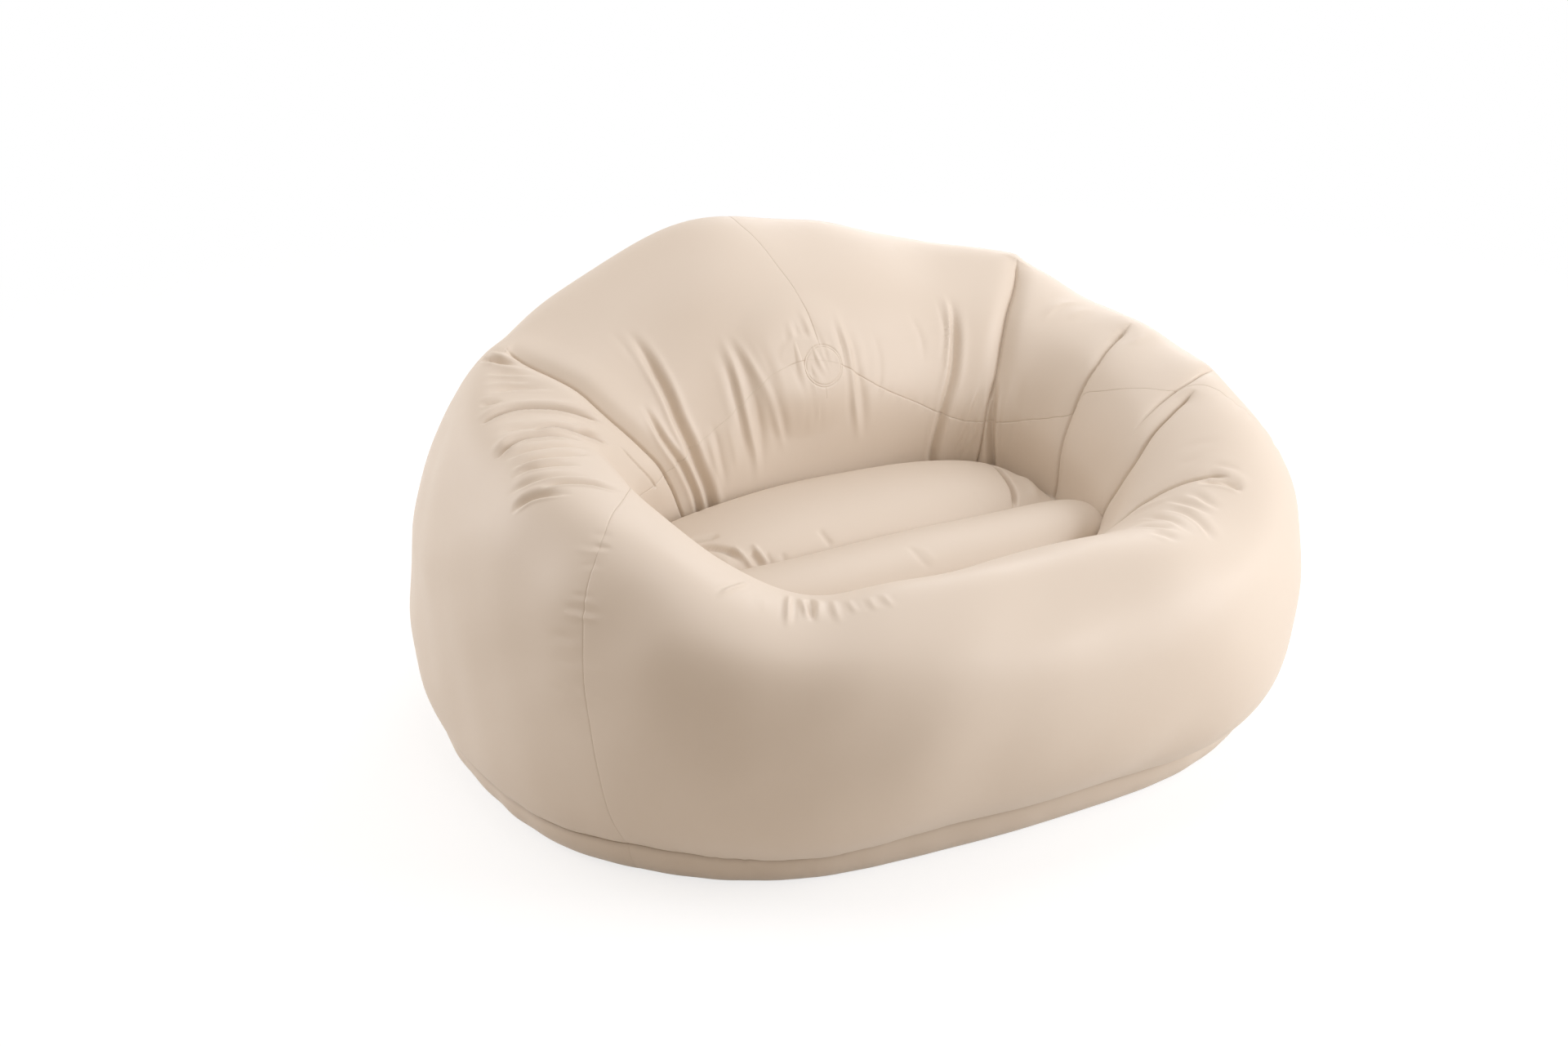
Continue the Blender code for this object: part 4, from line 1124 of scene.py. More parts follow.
def folded_angle(angle: np.ndarray) -> np.ndarray:
    """The angle's mirror image on the chair's right side, from -90 to 90."""
    return np.where(angle > HALF_TURN / 2, HALF_TURN - angle, angle)


def side_of_seam(right: FilmPath, left: FilmPath) -> SideOf:
    """Tells the outer side panels (+1) from the front and backrest panels (-1).

    Args:
        right: the seam over the right arm.
        left: the seam over the left arm.

    Returns:
        A function that gives the sign for each (angle, share) row.
    """
    curves = []
    for path in (right, left):
        angle = folded_angle(path.params[:, 0])
        order = np.argsort(angle)
        curves.append((angle[order], path.params[order, 1]))

    def sign(params: np.ndarray) -> np.ndarray:
        """+1 where the share is below the seam's at that angle."""
        angle = folded_angle(params[:, 0])
        limits = [np.interp(angle, *curve, left=-1.0) for curve in curves]
        limit = np.where(params[:, 0] > HALF_TURN / 2, limits[1], limits[0])
        return np.where(params[:, 1] < limit, 1.0, -1.0)

    return sign


@dataclass(frozen=True)
class RoundWeld:
    """A round weld over a disc inside the film: flat within, swollen film about it."""

    centre: tuple[float, float, float]
    normal: tuple[float, float, float]
    radius: float
    offset: float = 0.0018
    ease: float = 0.060
    line_depth: float = 0.0010
    line_width: float = 0.0010
    line_gap: float = 0.0036
    inner_line: float = 0.7
    line_mark: float = 0.6
    swell: float = 0.009
    swell_reach: float = 0.060
    shift: tuple[float, float] = (0.0, 0.0)
    lift_softness: float = 0.0015
    clearance: float = 0.0015
    clear_radius: float = 0.014
    clear_ease: float = 0.013

    @classmethod
    def over(cls, node: str, side: float, **sizes: float) -> "RoundWeld":
        """The weld over one of the CAD's tie discs.

        The disc leans about the left-to-right line, so its box is as tall as the diameter times
        the cosine of the lean and as deep as the diameter times its sine.

        Args:
            node: the disc's CAD node.
            side: -1 where the film faces the front, +1 where it faces the back.
            sizes: other fields of the weld.

        Returns:
            The weld, in the disc's own plane.
        """
        low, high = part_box(node)
        lean = math.atan2(high[1] - low[1], high[2] - low[2])
        return cls(tuple((low + high) / 2), (0.0, side * math.cos(lean), math.sin(lean)),
                   (high[0] - low[0]) / 2, **sizes)

    def _split(self, points: np.ndarray, slipped: bool) -> tuple[np.ndarray, np.ndarray]:
        """Distance from an axis across the disc, and height over the disc's plane.

        Args:
            points: n points.
            slipped: whether the axis is the weld's; otherwise it is the disc's.

        Returns:
            Both as arrays of n.
        """
        normal = np.array(self.normal)
        offset = points - np.array(self.centre)
        if slipped:
            offset -= self.shift[0] * np.array([1.0, 0.0, 0.0])
            offset -= self.shift[1] * np.cross(normal, [1.0, 0.0, 0.0])
        height = offset @ normal
        across = np.linalg.norm(offset - height[:, None] * normal, axis=1)
        return np.where(np.abs(height) < self.swell_reach * 2, across, 1.0), height

    def flatten(self, points: np.ndarray) -> None:
        """Lifts the film clear of the disc and eases it out to the ring's form.

        The lift is the smooth maximum of the gap g and 0, (g + sqrt(g squared + e squared)) / 2.
        """
        across, height = self._split(points, False)
        blend = 1 - ramp((across - self.radius - 0.002) / self.ease)
        gap = self.offset - height
        lift = (gap + np.sqrt(gap**2 + self.lift_softness**2)) / 2
        points += (lift * blend)[:, None] * np.array(self.normal)

    def distance(self, points: np.ndarray) -> np.ndarray:
        """Distance from the weld's axis."""
        return self._split(points, True)[0]

    def press(self, points: np.ndarray, height: np.ndarray, weld_and_shadow: np.ndarray) -> None:
        """Adds the weld to a height field and to the mask of welds and painted shadow.

        The two lines are narrow bells of the distance to the circle and to one inside it. The
        film about the weld swells by s (1 - exp(-(1.6 r/R) squared)) exp(-(r/1.7R) squared), and
        over the disc the height is kept above the disc's face.

        Args:
            points: points of the smooth form.
            height: the height field, changed in place.
            weld_and_shadow: the mask of welds and painted shadow, changed in place.
        """
        away = self._split(points, True)[0]
        lines = (np.exp(-((away - self.radius) / self.line_width) ** 2)
                 + self.inner_line
                 * np.exp(-((away - self.radius + self.line_gap) / self.line_width) ** 2))
        beyond = np.clip(away - self.radius, 0, None)
        rise = (self.swell * (1 - np.exp(-(beyond / self.swell_reach * 1.6) ** 2))
                * np.exp(-(beyond / self.swell_reach / 1.7) ** 2))
        over_disc = self._split(points, False)[0]
        inside = ramp((self.radius + self.clear_radius - over_disc) / self.clear_ease)
        height += rise + np.clip(self.clearance - self.offset - height, 0, None) * inside
        height -= self.line_depth * lines
        np.maximum(weld_and_shadow, np.clip(lines, 0, 1) * self.line_mark, out=weld_and_shadow)


@dataclass(frozen=True)
class Peak:
    """A place where the film rises or, with a negative height, sinks about one point."""

    station: Station
    height: float
    back_radius: float
    front_radius: float
    power: float = 1.4

    def press(self, form: "Surface", points: np.ndarray, height: np.ndarray) -> None:
        """Adds height times exp(-(r/radius) to the power), with a radius for each side.

        Args:
            form: the surface that holds the station.
            points: points of the smooth form.
            height: the field, changed in place.
        """
        centre = form.point(np.array([self.station[0]]), np.array([self.station[1]]))[0]
        offset = points - centre
        away = np.linalg.norm(offset, axis=1)
        inward = -np.sign(centre[0]) * offset[:, 0] + offset[:, 1] * 0.6
        share = ramp((inward / np.maximum(away, 1e-6) + 1) / 2)
        radius = self.front_radius + (self.back_radius - self.front_radius) * share
        height += self.height * np.exp(-(away / radius) ** self.power)


class Surface(Protocol):
    """Anything that gives points by two parameters."""

    def point(self, first: np.ndarray, second: np.ndarray) -> np.ndarray:
        """Points of the surface, n by 3."""


def point_normals(points: np.ndarray, triangles: np.ndarray) -> np.ndarray:
    """Unit normals at points: the sum of the cross products of the triangles that meet there."""
    corners = points[triangles]
    cross = np.cross(corners[:, 1] - corners[:, 0], corners[:, 2] - corners[:, 0])
    total = np.zeros_like(points)
    for corner in range(3):
        for axis in range(3):
            total[:, axis] += np.bincount(triangles[:, corner], cross[:, axis], len(points))
    return total / np.maximum(np.linalg.norm(total, axis=1, keepdims=True), 1e-12)


def add_lip(points: np.ndarray, triangles: np.ndarray, normals: np.ndarray, weld_and_shadow: np.ndarray,
            depth: float) -> tuple[np.ndarray, np.ndarray, np.ndarray]:
    """Turns the sheet's free edges inwards as the welded flange does.

    Args:
        points: the sheet's points.
        triangles: its triangles.
        normals: its point normals.
        weld_and_shadow: the mask of welds and painted shadow at its points.
        depth: width of the flange.

    Returns:
        The longer lists of points, triangles and mask.
    """
    edges = np.vstack([triangles[:, [0, 1]], triangles[:, [1, 2]], triangles[:, [2, 0]]])
    key = np.sort(edges, axis=1)
    code = key[:, 0].astype(np.int64) * len(points) + key[:, 1]
    _, first, count = np.unique(code, return_index=True, return_counts=True)
    rim = edges[first[count == 1]]
    used, where = np.unique(rim, return_inverse=True)
    where = where.reshape(rim.shape)
    fresh = points[used] - normals[used] * depth
    a, b = rim[:, 0], rim[:, 1]
    c, d = where[:, 0] + len(points), where[:, 1] + len(points)
    flange = np.vstack([np.column_stack([b, a, c]), np.column_stack([b, c, d])])
    return (np.vstack([points, fresh]), np.vstack([triangles, flange]),
            np.concatenate([weld_and_shadow, weld_and_shadow[used]]))


def surface_object(name: str, points: np.ndarray, triangles: np.ndarray,
                   weld_and_shadow: np.ndarray | None = None) -> bpy.types.Object:
    """Makes an object of a triangle sheet.

    Args:
        name: the object's name.
        points: n by 3 points; unused ones are left out.
        triangles: m by 3 indices.
        weld_and_shadow: weld marks and painted shadow, kept as the point attribute that the film's
            material reads.

    Returns:
        The linked object, smooth shaded.
    """
    used, where = np.unique(triangles, return_inverse=True)
    faces = where.reshape(-1, 3).astype(np.int32)
    mesh = bpy.data.meshes.new(name)
    mesh.vertices.add(used.size)
    mesh.vertices.foreach_set("co", points[used].astype(np.float32).ravel())
    mesh.loops.add(faces.size)
    mesh.loops.foreach_set("vertex_index", faces.ravel())
    mesh.polygons.add(len(faces))
    mesh.polygons.foreach_set("loop_start", np.arange(0, faces.size, 3, dtype=np.int32))
    mesh.update(calc_edges=True)
    mesh.shade_smooth()
    if weld_and_shadow is not None:
        layer = mesh.attributes.new("weld_and_shadow", "FLOAT", "POINT")
        layer.data.foreach_set("value", weld_and_shadow[used].astype(np.float32))
    item = bpy.data.objects.new(name, mesh)
    bpy.context.scene.collection.objects.link(item)
    return item


def dress_node(item: bpy.types.Object, material: bpy.types.Material) -> None:
    """Gives a CAD node its finish, slot by slot."""
    if not item.data.materials:
        item.data.materials.append(material)
    for slot in item.material_slots:
        slot.material = material


def drawn_in(node: bpy.types.Object, share: float) -> bpy.types.Object:
    """A flat inner piece built anew a little smaller, so that it stays under the pressed film.

    Args:
        node: the CAD node, which is left as it is.
        share: how much each point moves towards the middle of the node's box.

    Returns:
        The linked object.
    """
    mesh = node.data
    points = np.empty(len(mesh.vertices) * 3)
    mesh.vertices.foreach_get("co", points)
    matrix = np.array(node.matrix_world)
    points = points.reshape(-1, 3) @ matrix[:3, :3].T + matrix[:3, 3]
    middle = (points.min(0) + points.max(0)) / 2
    mesh.calc_loop_triangles()
    triangles = np.empty(len(mesh.loop_triangles) * 3, dtype=np.int32)
    mesh.loop_triangles.foreach_get("vertices", triangles)
    merged, where = np.unique(np.round(points, 6), axis=0, return_inverse=True)
    item = surface_object(node.name + "_sheet", merged + (middle - merged) * share,
                          where.ravel()[triangles].reshape(-1, 3))
    item.data.shade_flat()
    return item


# The chair's sub-assemblies


@dataclass
class AirChamber:
    """The ring's film: two side panels, the front panel and the backrest panel."""

    form: RingForm
    columns: int = 900
    rows: int = 272
    lip: float = 0.004
    weld_depth: float = 0.0006
    weld_width: float = 0.0009
    weld_pinch: float = 0.0004
    weld_reach: float = 0.009
    weld_mark: float = 0.0008
    weld_limit: float = 2.2
    field_reach: float = 0.08
    seam_levels: tuple[float, ...] = (0.0007, 0.0016, 0.003, 0.0055)
    centre_levels: tuple[float, ...] = (0.0006, 0.0014, 0.003, 0.0055)
    crease_levels: tuple[float, ...] = (0.0008, 0.0022, 0.005, 0.010)
    valve_levels: tuple[float, ...] = (0.0, 0.0025, 0.0055, 0.0097)
    tie_levels: tuple[float, ...] = (-0.0052, -0.0043, -0.0036, -0.0029, -0.0018, -0.0009, 0.0,
                                     0.0009, 0.0018, 0.004)
    fold_levels: tuple[float, ...] = (0.0018, 0.0046)
    fold_reach: float = 0.009
    tie_slack: float = 0.00010
    fold_slack: float = 0.00030
    slack_waves: int = 14
    slack_slope: float = 0.0045
    slack_lengths: tuple[float, float] = (0.09, 0.30)
    slack_at_base: float = 0.3
    slack_full: float = 0.2
    crest_share: float = 0.60
    corner_depth: float = 0.017
    corner_width: float = 0.020
    corner_swell: float = 0.007
    corner_swell_reach: float = 0.045
    corner_swell_gap: float = 0.018
    corner_fade: float = 0.03
    slit_depth: float = 0.0045
    slit_width: float = 0.0020
    slit_start: float = 0.594
    slit_ease: float = 0.02
    hushed_angles: tuple[float, float, float] = (96.0, 150.0, 6.0)
    hushed_share: float = 0.75
    centre_end: float = 0.90
    base_inset: float = 0.006
    base_reach: float = 0.014
    base_scale: float = 0.70
    base_groove: float = 0.0030
    base_groove_width: float = 0.0026
    # Painted shadow of the base seam's tuck: a thin dark line in the mask, strongest towards the
    # front left.
    base_shadow: float = 1.75
    base_shadow_more: float = 0.45
    base_shadow_angle: float = 225.0
    base_shadow_width: float = 0.0022
    jogs: tuple[tuple[float, int], ...] = ((221.5, 1), (225.0, -1), (233.5, 1), (238.0, -1),
                                           (244.5, 1))
    jog_height: float = 0.0016
    jog_angle: float = 0.45
    jog_share: float = 0.012
    ties: tuple[RoundWeld, ...] = ()
    valve_centre: tuple[float, float, float] = (0.20, 0.6233362682603292, 0.25)
    valve_hole: float = 0.0203
    valve_flat: float = 0.034
    valve_ease: float = 0.028
    valve_back: float = 0.3
    valve_top_share: float = 0.5
    imprint_depth: float = 0.0007
    imprint_radius: float = 0.0285
    imprint_width: float = 0.0012
    sheet: FilmSheet = field(init=False)
    points: np.ndarray = field(init=False)
    normals: np.ndarray = field(init=False)
    weld_and_shadow: np.ndarray = field(init=False)

    def build(self) -> dict[str, bpy.types.Object]:
        """Lays out, scores, presses and parts the film.

        Returns:
            The four panels by name.
        """
        self._lay_out()
        self._press()
        return self._part()

    def _lay_out(self) -> None:
        """Makes the sheet and scores it along its seams, creases, weld circles and folds."""
        self.sheet = FilmSheet(self.form, self.columns, self.rows)
        side = FilmPath(self.form, SIDE_SEAM)
        other = FilmPath(self.form, LEFT_SEAM)
        centre = FilmPath(self.form, CENTRE_SEAM)
        corners = [FilmPath(self.form, CORNER_RIGHT), FilmPath(self.form, CORNER_LEFT)]
        sheet = self.sheet
        sheet.distance_field("side", [side, other], self.field_reach, side_of_seam(side, other))
        sheet.distance_field("centre", [centre], self.field_reach,
                             lambda params: np.where(params[:, 0] > np.interp(
                                 params[:, 1], centre.params[:, 1], centre.params[:, 0]),
                                 1.0, -1.0))
        sheet.distance_field("corner", corners, self.field_reach, behind_corners(corners))
        sheet.fields["valve"] = self._valve_field(sheet.params)
        for name, levels in (("side", self.seam_levels), ("centre", self.centre_levels),
                             ("corner", self.crease_levels)):
            sheet.score(name, both_sides(levels), POINT_SLACK)
        sheet.score("valve", self.valve_levels, POINT_SLACK)
        points = self.form.point(sheet.params[:, 0], sheet.params[:, 1])
        away = np.minimum.reduce([tie.distance(points) - tie.radius for tie in self.ties])
        sheet.fields["tie"] = np.minimum(away, self.field_reach)
        sheet.score("tie", self.tie_levels, self.tie_slack)
        lines = dict.fromkeys(fold.stations for fold in all_folds())
        sheet.signed_field("fold", [FilmPath(self.form, line) for line in lines],
                           self.fold_reach)
        sheet.score("fold", both_sides(self.fold_levels), self.fold_slack)

    def _valve_field(self, params: np.ndarray) -> np.ndarray:
        """Distance past the valve's hole, along the back."""
        points = self.form.point(params[:, 0], params[:, 1])
        away = np.hypot(points[:, 0] - self.valve_centre[0], points[:, 2] - self.valve_centre[2])
        outside = (points[:, 1] < self.valve_back) | (params[:, 1] > self.valve_top_share)
        return np.where(outside, self.field_reach,
                        np.minimum(away - self.valve_hole, self.field_reach))

    def _press(self) -> None:
        """Works out the height field and lifts the film by it."""
        angle, share = self.sheet.params.T
        smooth = self.form.point(angle, share)
        normals = self.form.normal(angle, share)
        for tie in self.ties:
            tie.flatten(smooth)
        height = np.zeros(len(smooth))
        weld_and_shadow = np.zeros(len(smooth))
        self._press_waves(smooth, height)
        calm = self.slack_at_base
        height *= calm + (1 - calm) * ramp(share / self.slack_full)
        for fold in all_folds():
            fold.press(self.form, smooth, normals, height)
        for row in seam_puckers():
            row.press(self.form, smooth, normals, height)
        self._press_corners(share, height)
        for peak in crest_peaks():
            peak.press(self.form, smooth, height)
        for tie in self.ties:
            tie.press(smooth, height, weld_and_shadow)
        self._press_welds(share, height, weld_and_shadow)
        self.points = smooth + normals * height[:, None]
        self._flatten_valve()
        steps = sum(side * np.exp(-((angle - place) / self.jog_angle) ** 2)
                    for place, side in self.jogs)
        self.points[:, 2] += self.jog_height * steps * np.exp(-(share / self.jog_share) ** 2)
        self.weld_and_shadow = np.clip(weld_and_shadow, 0, self.weld_limit)
        self.normals = point_normals(self.points, self.sheet.triangles)

    def _press_waves(self, points: np.ndarray, height: np.ndarray) -> None:
        """Adds the film's slack, a sum of seeded plane waves as high as their length allows."""
        draw = np.random.default_rng(SEED)
        for _ in range(self.slack_waves):
            direction = draw.normal(size=3)
            direction /= np.linalg.norm(direction)
            length = draw.uniform(*self.slack_lengths)
            height += self.slack_slope * length * np.sin(
                points @ direction * 2 * np.pi / length + draw.uniform(0, 2 * np.pi))

    def _press_corners(self, share: np.ndarray, height: np.ndarray) -> None:
        """Adds the mitre creases and the swell on both sides of them.

        With q the share of the way from the crest to the seat line, the depth is that of the CAD's
        mitre, sin(pi sqrt q), and it falls off with exp(-|d|/w) to both sides; the swell is a wide
        bell less a narrow one, and a narrow slit runs on to both ends.
        """
        distance = np.abs(self.sheet.fields["corner"])
        inside = np.clip((share - self.crest_share) / (1 - self.crest_share), 0, 1)
        depth = np.sin(np.pi * np.sqrt(inside))
        near = distance < self.field_reach * 0.99
        fade = ramp((self.field_reach - distance) / self.corner_fade)
        groove = self.corner_depth * np.exp(-distance / self.corner_width)
        swell = self.corner_swell * (np.exp(-(distance / self.corner_swell_reach) ** 2)
                                     - np.exp(-(distance / self.corner_swell_gap) ** 2))
        slit = self.slit_depth * np.exp(-(distance / self.slit_width) ** 2)
        line = (ramp((share - self.slit_start) / self.slit_ease)
                * ramp((1.004 - inside) / self.slit_ease))
        height += np.where(near, (depth * (swell - groove) - line * slit) * fade, 0.0)

    def _press_welds(self, share: np.ndarray, height: np.ndarray, weld_and_shadow: np.ndarray) -> None:
        """Adds the seams: a fine groove, a wider pinch, and the tuck at the base seam, with a
        painted shadow line along the tuck.

        The seams end at the round welds, and the thin seam is hushed where the photo shows it
        faintly, left of the backrest's middle.

        Args:
            share: the points' shares.
            height: the height field, changed in place.
            weld_and_shadow: the mask of welds and painted shadow, changed in place.
        """
        angle = self.sheet.params[:, 0]
        clear = self.sheet.fields["tie"] > -0.001
        side = np.where(clear, np.abs(self.sheet.fields["side"]), self.field_reach)
        centre = np.where(clear & (share < self.centre_end),
                          np.abs(self.sheet.fields["centre"]), self.field_reach)
        first, last, ease = self.hushed_angles
        hushed = (ramp((angle - first) / ease) * ramp((last - angle) / ease)
                  * (share > self.crest_share))
        for distance, level in ((side, 1 - self.hushed_share * hushed), (centre, 1.0)):
            groove = np.exp(-(distance / self.weld_width) ** 2)
            height -= level * (self.weld_depth * groove
                               + self.weld_pinch * np.exp(-distance / self.weld_reach))
            np.maximum(weld_and_shadow, level * np.exp(-(distance / self.weld_mark) ** 2), out=weld_and_shadow)
        base = share * self.base_scale
        height -= self.base_inset * np.exp(-(base / self.base_reach) ** 2)
        height -= self.base_groove * np.exp(-(base / self.base_groove_width) ** 2)
        # Painted shadow: the mask darkens a thin line along the base seam where the tuck's shadow
        # falls, most at the front left.
        tuck_shadow = (self.base_shadow
                + self.base_shadow_more * np.cos(np.radians(angle - self.base_shadow_angle)))
        np.maximum(weld_and_shadow, tuck_shadow * np.exp(-(base / self.base_shadow_width) ** 2), out=weld_and_shadow)

    def _flatten_valve(self) -> None:
        """Lays the film flat about the valve, in the plane of the valve's flange."""
        x, y, z = self.valve_centre
        away = np.hypot(self.points[:, 0] - x, self.points[:, 2] - z)
        near = ((self.points[:, 1] > self.valve_back)
                & (self.sheet.params[:, 1] < self.valve_top_share))
        blend = np.where(near, 1 - ramp((away - self.valve_flat) / self.valve_ease), 0.0)
        ring = np.exp(-((away - self.imprint_radius) / self.imprint_width) ** 2)
        self.points[:, 1] += ((y - self.points[:, 1]) * blend
                              - self.imprint_depth * ring * np.where(near, 1.0, 0.0))

    def _part(self) -> dict[str, bpy.types.Object]:
        """Parts the film by the signs of its fields and makes the four panels.

        Returns:
            The panels by name.
        """
        triangles = self.sheet.triangles
        total = {name: values[triangles].sum(1) for name, values in self.sheet.fields.items()}
        outer = total["side"] > 0
        left = total["centre"] > 0
        behind = total["corner"] > 0
        open_film = total["valve"] > 0
        regions = {
            "right_side_panel": outer & ~left & open_film,
            "left_side_panel": outer & left & open_film,
            "backrest_panel": ~outer & behind,
            "front_panel": ~outer & ~behind,
        }
        panels = {}
        for name, region in regions.items():
            parts = add_lip(self.points, triangles[region], self.normals, self.weld_and_shadow, self.lip)
            panels[name] = surface_object(name, *parts)
        return panels

    def edge(self, share: float) -> tuple[np.ndarray, np.ndarray]:
        """The film's own edge line.

        Args:
            share: 0 for the base seam or 1 for the seat line.

        Returns:
            The angles of its points, rising, and the points.
        """
        on_line = np.flatnonzero(np.abs(self.sheet.params[:, 1] - share) < 1e-9)
        used = np.unique(self.sheet.triangles)
        on_line = np.intersect1d(on_line, used)
        order = np.argsort(self.sheet.params[on_line, 0])
        return self.sheet.params[on_line[order], 0], self.points[on_line[order]]


def behind_corners(corners: Sequence[FilmPath]) -> SideOf:
    """Tells the backrest (+1) from the arms and the front (-1) on the inside of the ring.

    Args:
        corners: the right and the left corner crease.

    Returns:
        A function that gives the sign for each (angle, share) row.
    """
    right, left = corners

    def sign(params: np.ndarray) -> np.ndarray:
        """+1 between the two corner creases at that share."""
        low = np.interp(params[:, 1], right.params[:, 1], right.params[:, 0])
        high = np.interp(params[:, 1], left.params[:, 1], left.params[:, 0])
        return np.where((params[:, 0] > low) & (params[:, 0] < high), 1.0, -1.0)

    return sign


def all_folds() -> list[Fold]:
    """Every fold of the ring."""
    slits = [Fold(path, 0.0110, 0.0027, fade_in=0.2, fade_out=0.25)
             for path in (UPPER_ARC, MIDDLE_ARC, LOWER_ARC)]
    return [*right_arm_creases(), *left_arm_creases(), *folds_of(RIGHT_ARM_RIPPLES, 0.85),
            *folds_of(LEFT_ARM_RIPPLES, 2.1), *slits, *folds_of(BACKREST_FOLDS, 0.50),
            *folds_of(RIM_PUCKERS, 0.5), *folds_of(CORNER_SEAM_PULLS, 0.42)]


def seam_puckers() -> list[Puckers]:
    """Pulls across the front corner seams and along the base seam."""
    base = tuple((float(angle), 0.012) for angle in range(-90, 271, 10))
    return [
        Puckers(SIDE_SEAM, 0.20, 0.42, 0.0012, 0.022, 0.020, 6),
        Puckers(SIDE_SEAM, 0.55, 0.98, 0.0004, 0.026, 0.010, 7),
        Puckers(base, 0.0, 1.0, 0.0007, 0.055, 0.018, 9),
    ]


def crest_peaks() -> list[Peak]:
    """The pinched points at the corner creases and the arm's, then the outline's broad swells."""
    pinched = (((29.8, 0.583), 0.011, 0.055, 0.022), ((148.2, 0.580), 0.007, 0.045, 0.034),
               ((6.5, 0.60), 0.003, 0.030, 0.030), ((-12.0, 0.56), 0.0030, 0.030, 0.030))
    broad = (((70.0, 0.60), -0.016, 0.12), ((104.0, 0.59), 0.007, 0.08),
             ((141.0, 0.57), -0.012, 0.10), ((47.0, 0.605), -0.013, 0.10),
             ((16.0, 0.60), -0.008, 0.09), ((2.0, 0.58), 0.009, 0.05),
             ((128.5, 0.59), -0.006, 0.09), ((159.5, 0.40), -0.007, 0.09),
             ((234.0, 0.03), 0.012, 0.13), ((210.0, 0.03), -0.006, 0.12),
             ((-55.0, 0.08), 0.010, 0.16))
    return ([Peak(*row) for row in pinched]
            + [Peak(station, height, radius, radius, 2.0) for station, height, radius in broad])


@dataclass
class SeatForm:
    """The seat's two tubes over (across, along), left to right and front to back."""

    angles: np.ndarray
    line: np.ndarray
    front_corner: float = -40.0
    middle_angle: float = -14.5
    rear_corner: float = 21.0
    front_top: float = 0.362
    rear_top: float = 0.375
    front_power: float = 60.0
    rear_power: float = 4.2
    nose_power: float = 15.0
    bulge: float = 0.050
    bulge_power: int = 12

    def _edge(self, angle: np.ndarray) -> np.ndarray:
        """Points of the seat line by angle, once round."""
        turned = (angle + 90.0) % FULL_TURN - 90.0
        angles = np.append(self.angles, self.angles[0] + FULL_TURN)
        line = np.vstack([self.line, self.line[:1]])
        return np.column_stack([np.interp(turned, angles, line[:, k]) for k in range(3)])

    def point(self, first: np.ndarray, second: np.ndarray) -> np.ndarray:
        """Points of the seat.

        A Coons patch fills the seat line: the sum of the two ruled sheets between opposite runs,
        less the bilinear sheet of the four corners. Each tube stands on it up to its own level
        top, by sqrt(1 - (2p - 1) squared) across and sqrt(1 - a to a power) at its ends. The
        front tube's right end is squarer and bulges to the side.

        Args:
            first: n shares from left to right.
            second: n shares from front to back, one half at the crease between the tubes.

        Returns:
            An array of n by 3.
        """
        u, v = first[:, None], second[:, None]
        side = np.interp(second, [0, 0.5, 1], [self.front_corner, self.middle_angle,
                                               self.rear_corner])
        right, left = self._edge(side), self._edge(HALF_TURN - side)
        rear_span = HALF_TURN - 2 * self.rear_corner
        front_span = HALF_TURN + 2 * self.front_corner
        rear = self._edge(HALF_TURN - self.rear_corner - rear_span * first)
        front = self._edge(HALF_TURN - self.front_corner + front_span * first)
        corner = {(i, j): self._edge(np.array([angle]))
                  for (i, j), angle in {(0, 0): HALF_TURN - self.front_corner,
                                        (1, 0): self.front_corner,
                                        (0, 1): HALF_TURN - self.rear_corner,
                                        (1, 1): self.rear_corner}.items()}
        flat = ((1 - u) * left + u * right + (1 - v) * front + v * rear
                - (1 - u) * (1 - v) * corner[0, 0] - u * (1 - v) * corner[1, 0]
                - (1 - u) * v * corner[0, 1] - u * v * corner[1, 1])
        place = (2 * second) % 1.0
        place = np.where(second >= 1.0, 1.0, place)
        across = np.abs(2 * first - 1)
        crown = np.sqrt(np.clip(1 - (2 * place - 1) ** 2, 0, 1))
        front_power = np.where(first > 0.5, self.nose_power, self.front_power)
        power = np.where(second < 0.5, front_power, self.rear_power)
        dome = np.sqrt(np.clip(1 - across ** power, 0, 1))
        top = np.where(second < 0.5, self.front_top, self.rear_top)
        flat[:, 2] += np.clip(top - flat[:, 2], 0, None) * crown * dome
        out = np.where((second < 0.5) & (first > 0.5), self.bulge, 0.0)
        flat[:, 0] += out * crown * np.sqrt(dome) * across**self.bulge_power
        return flat


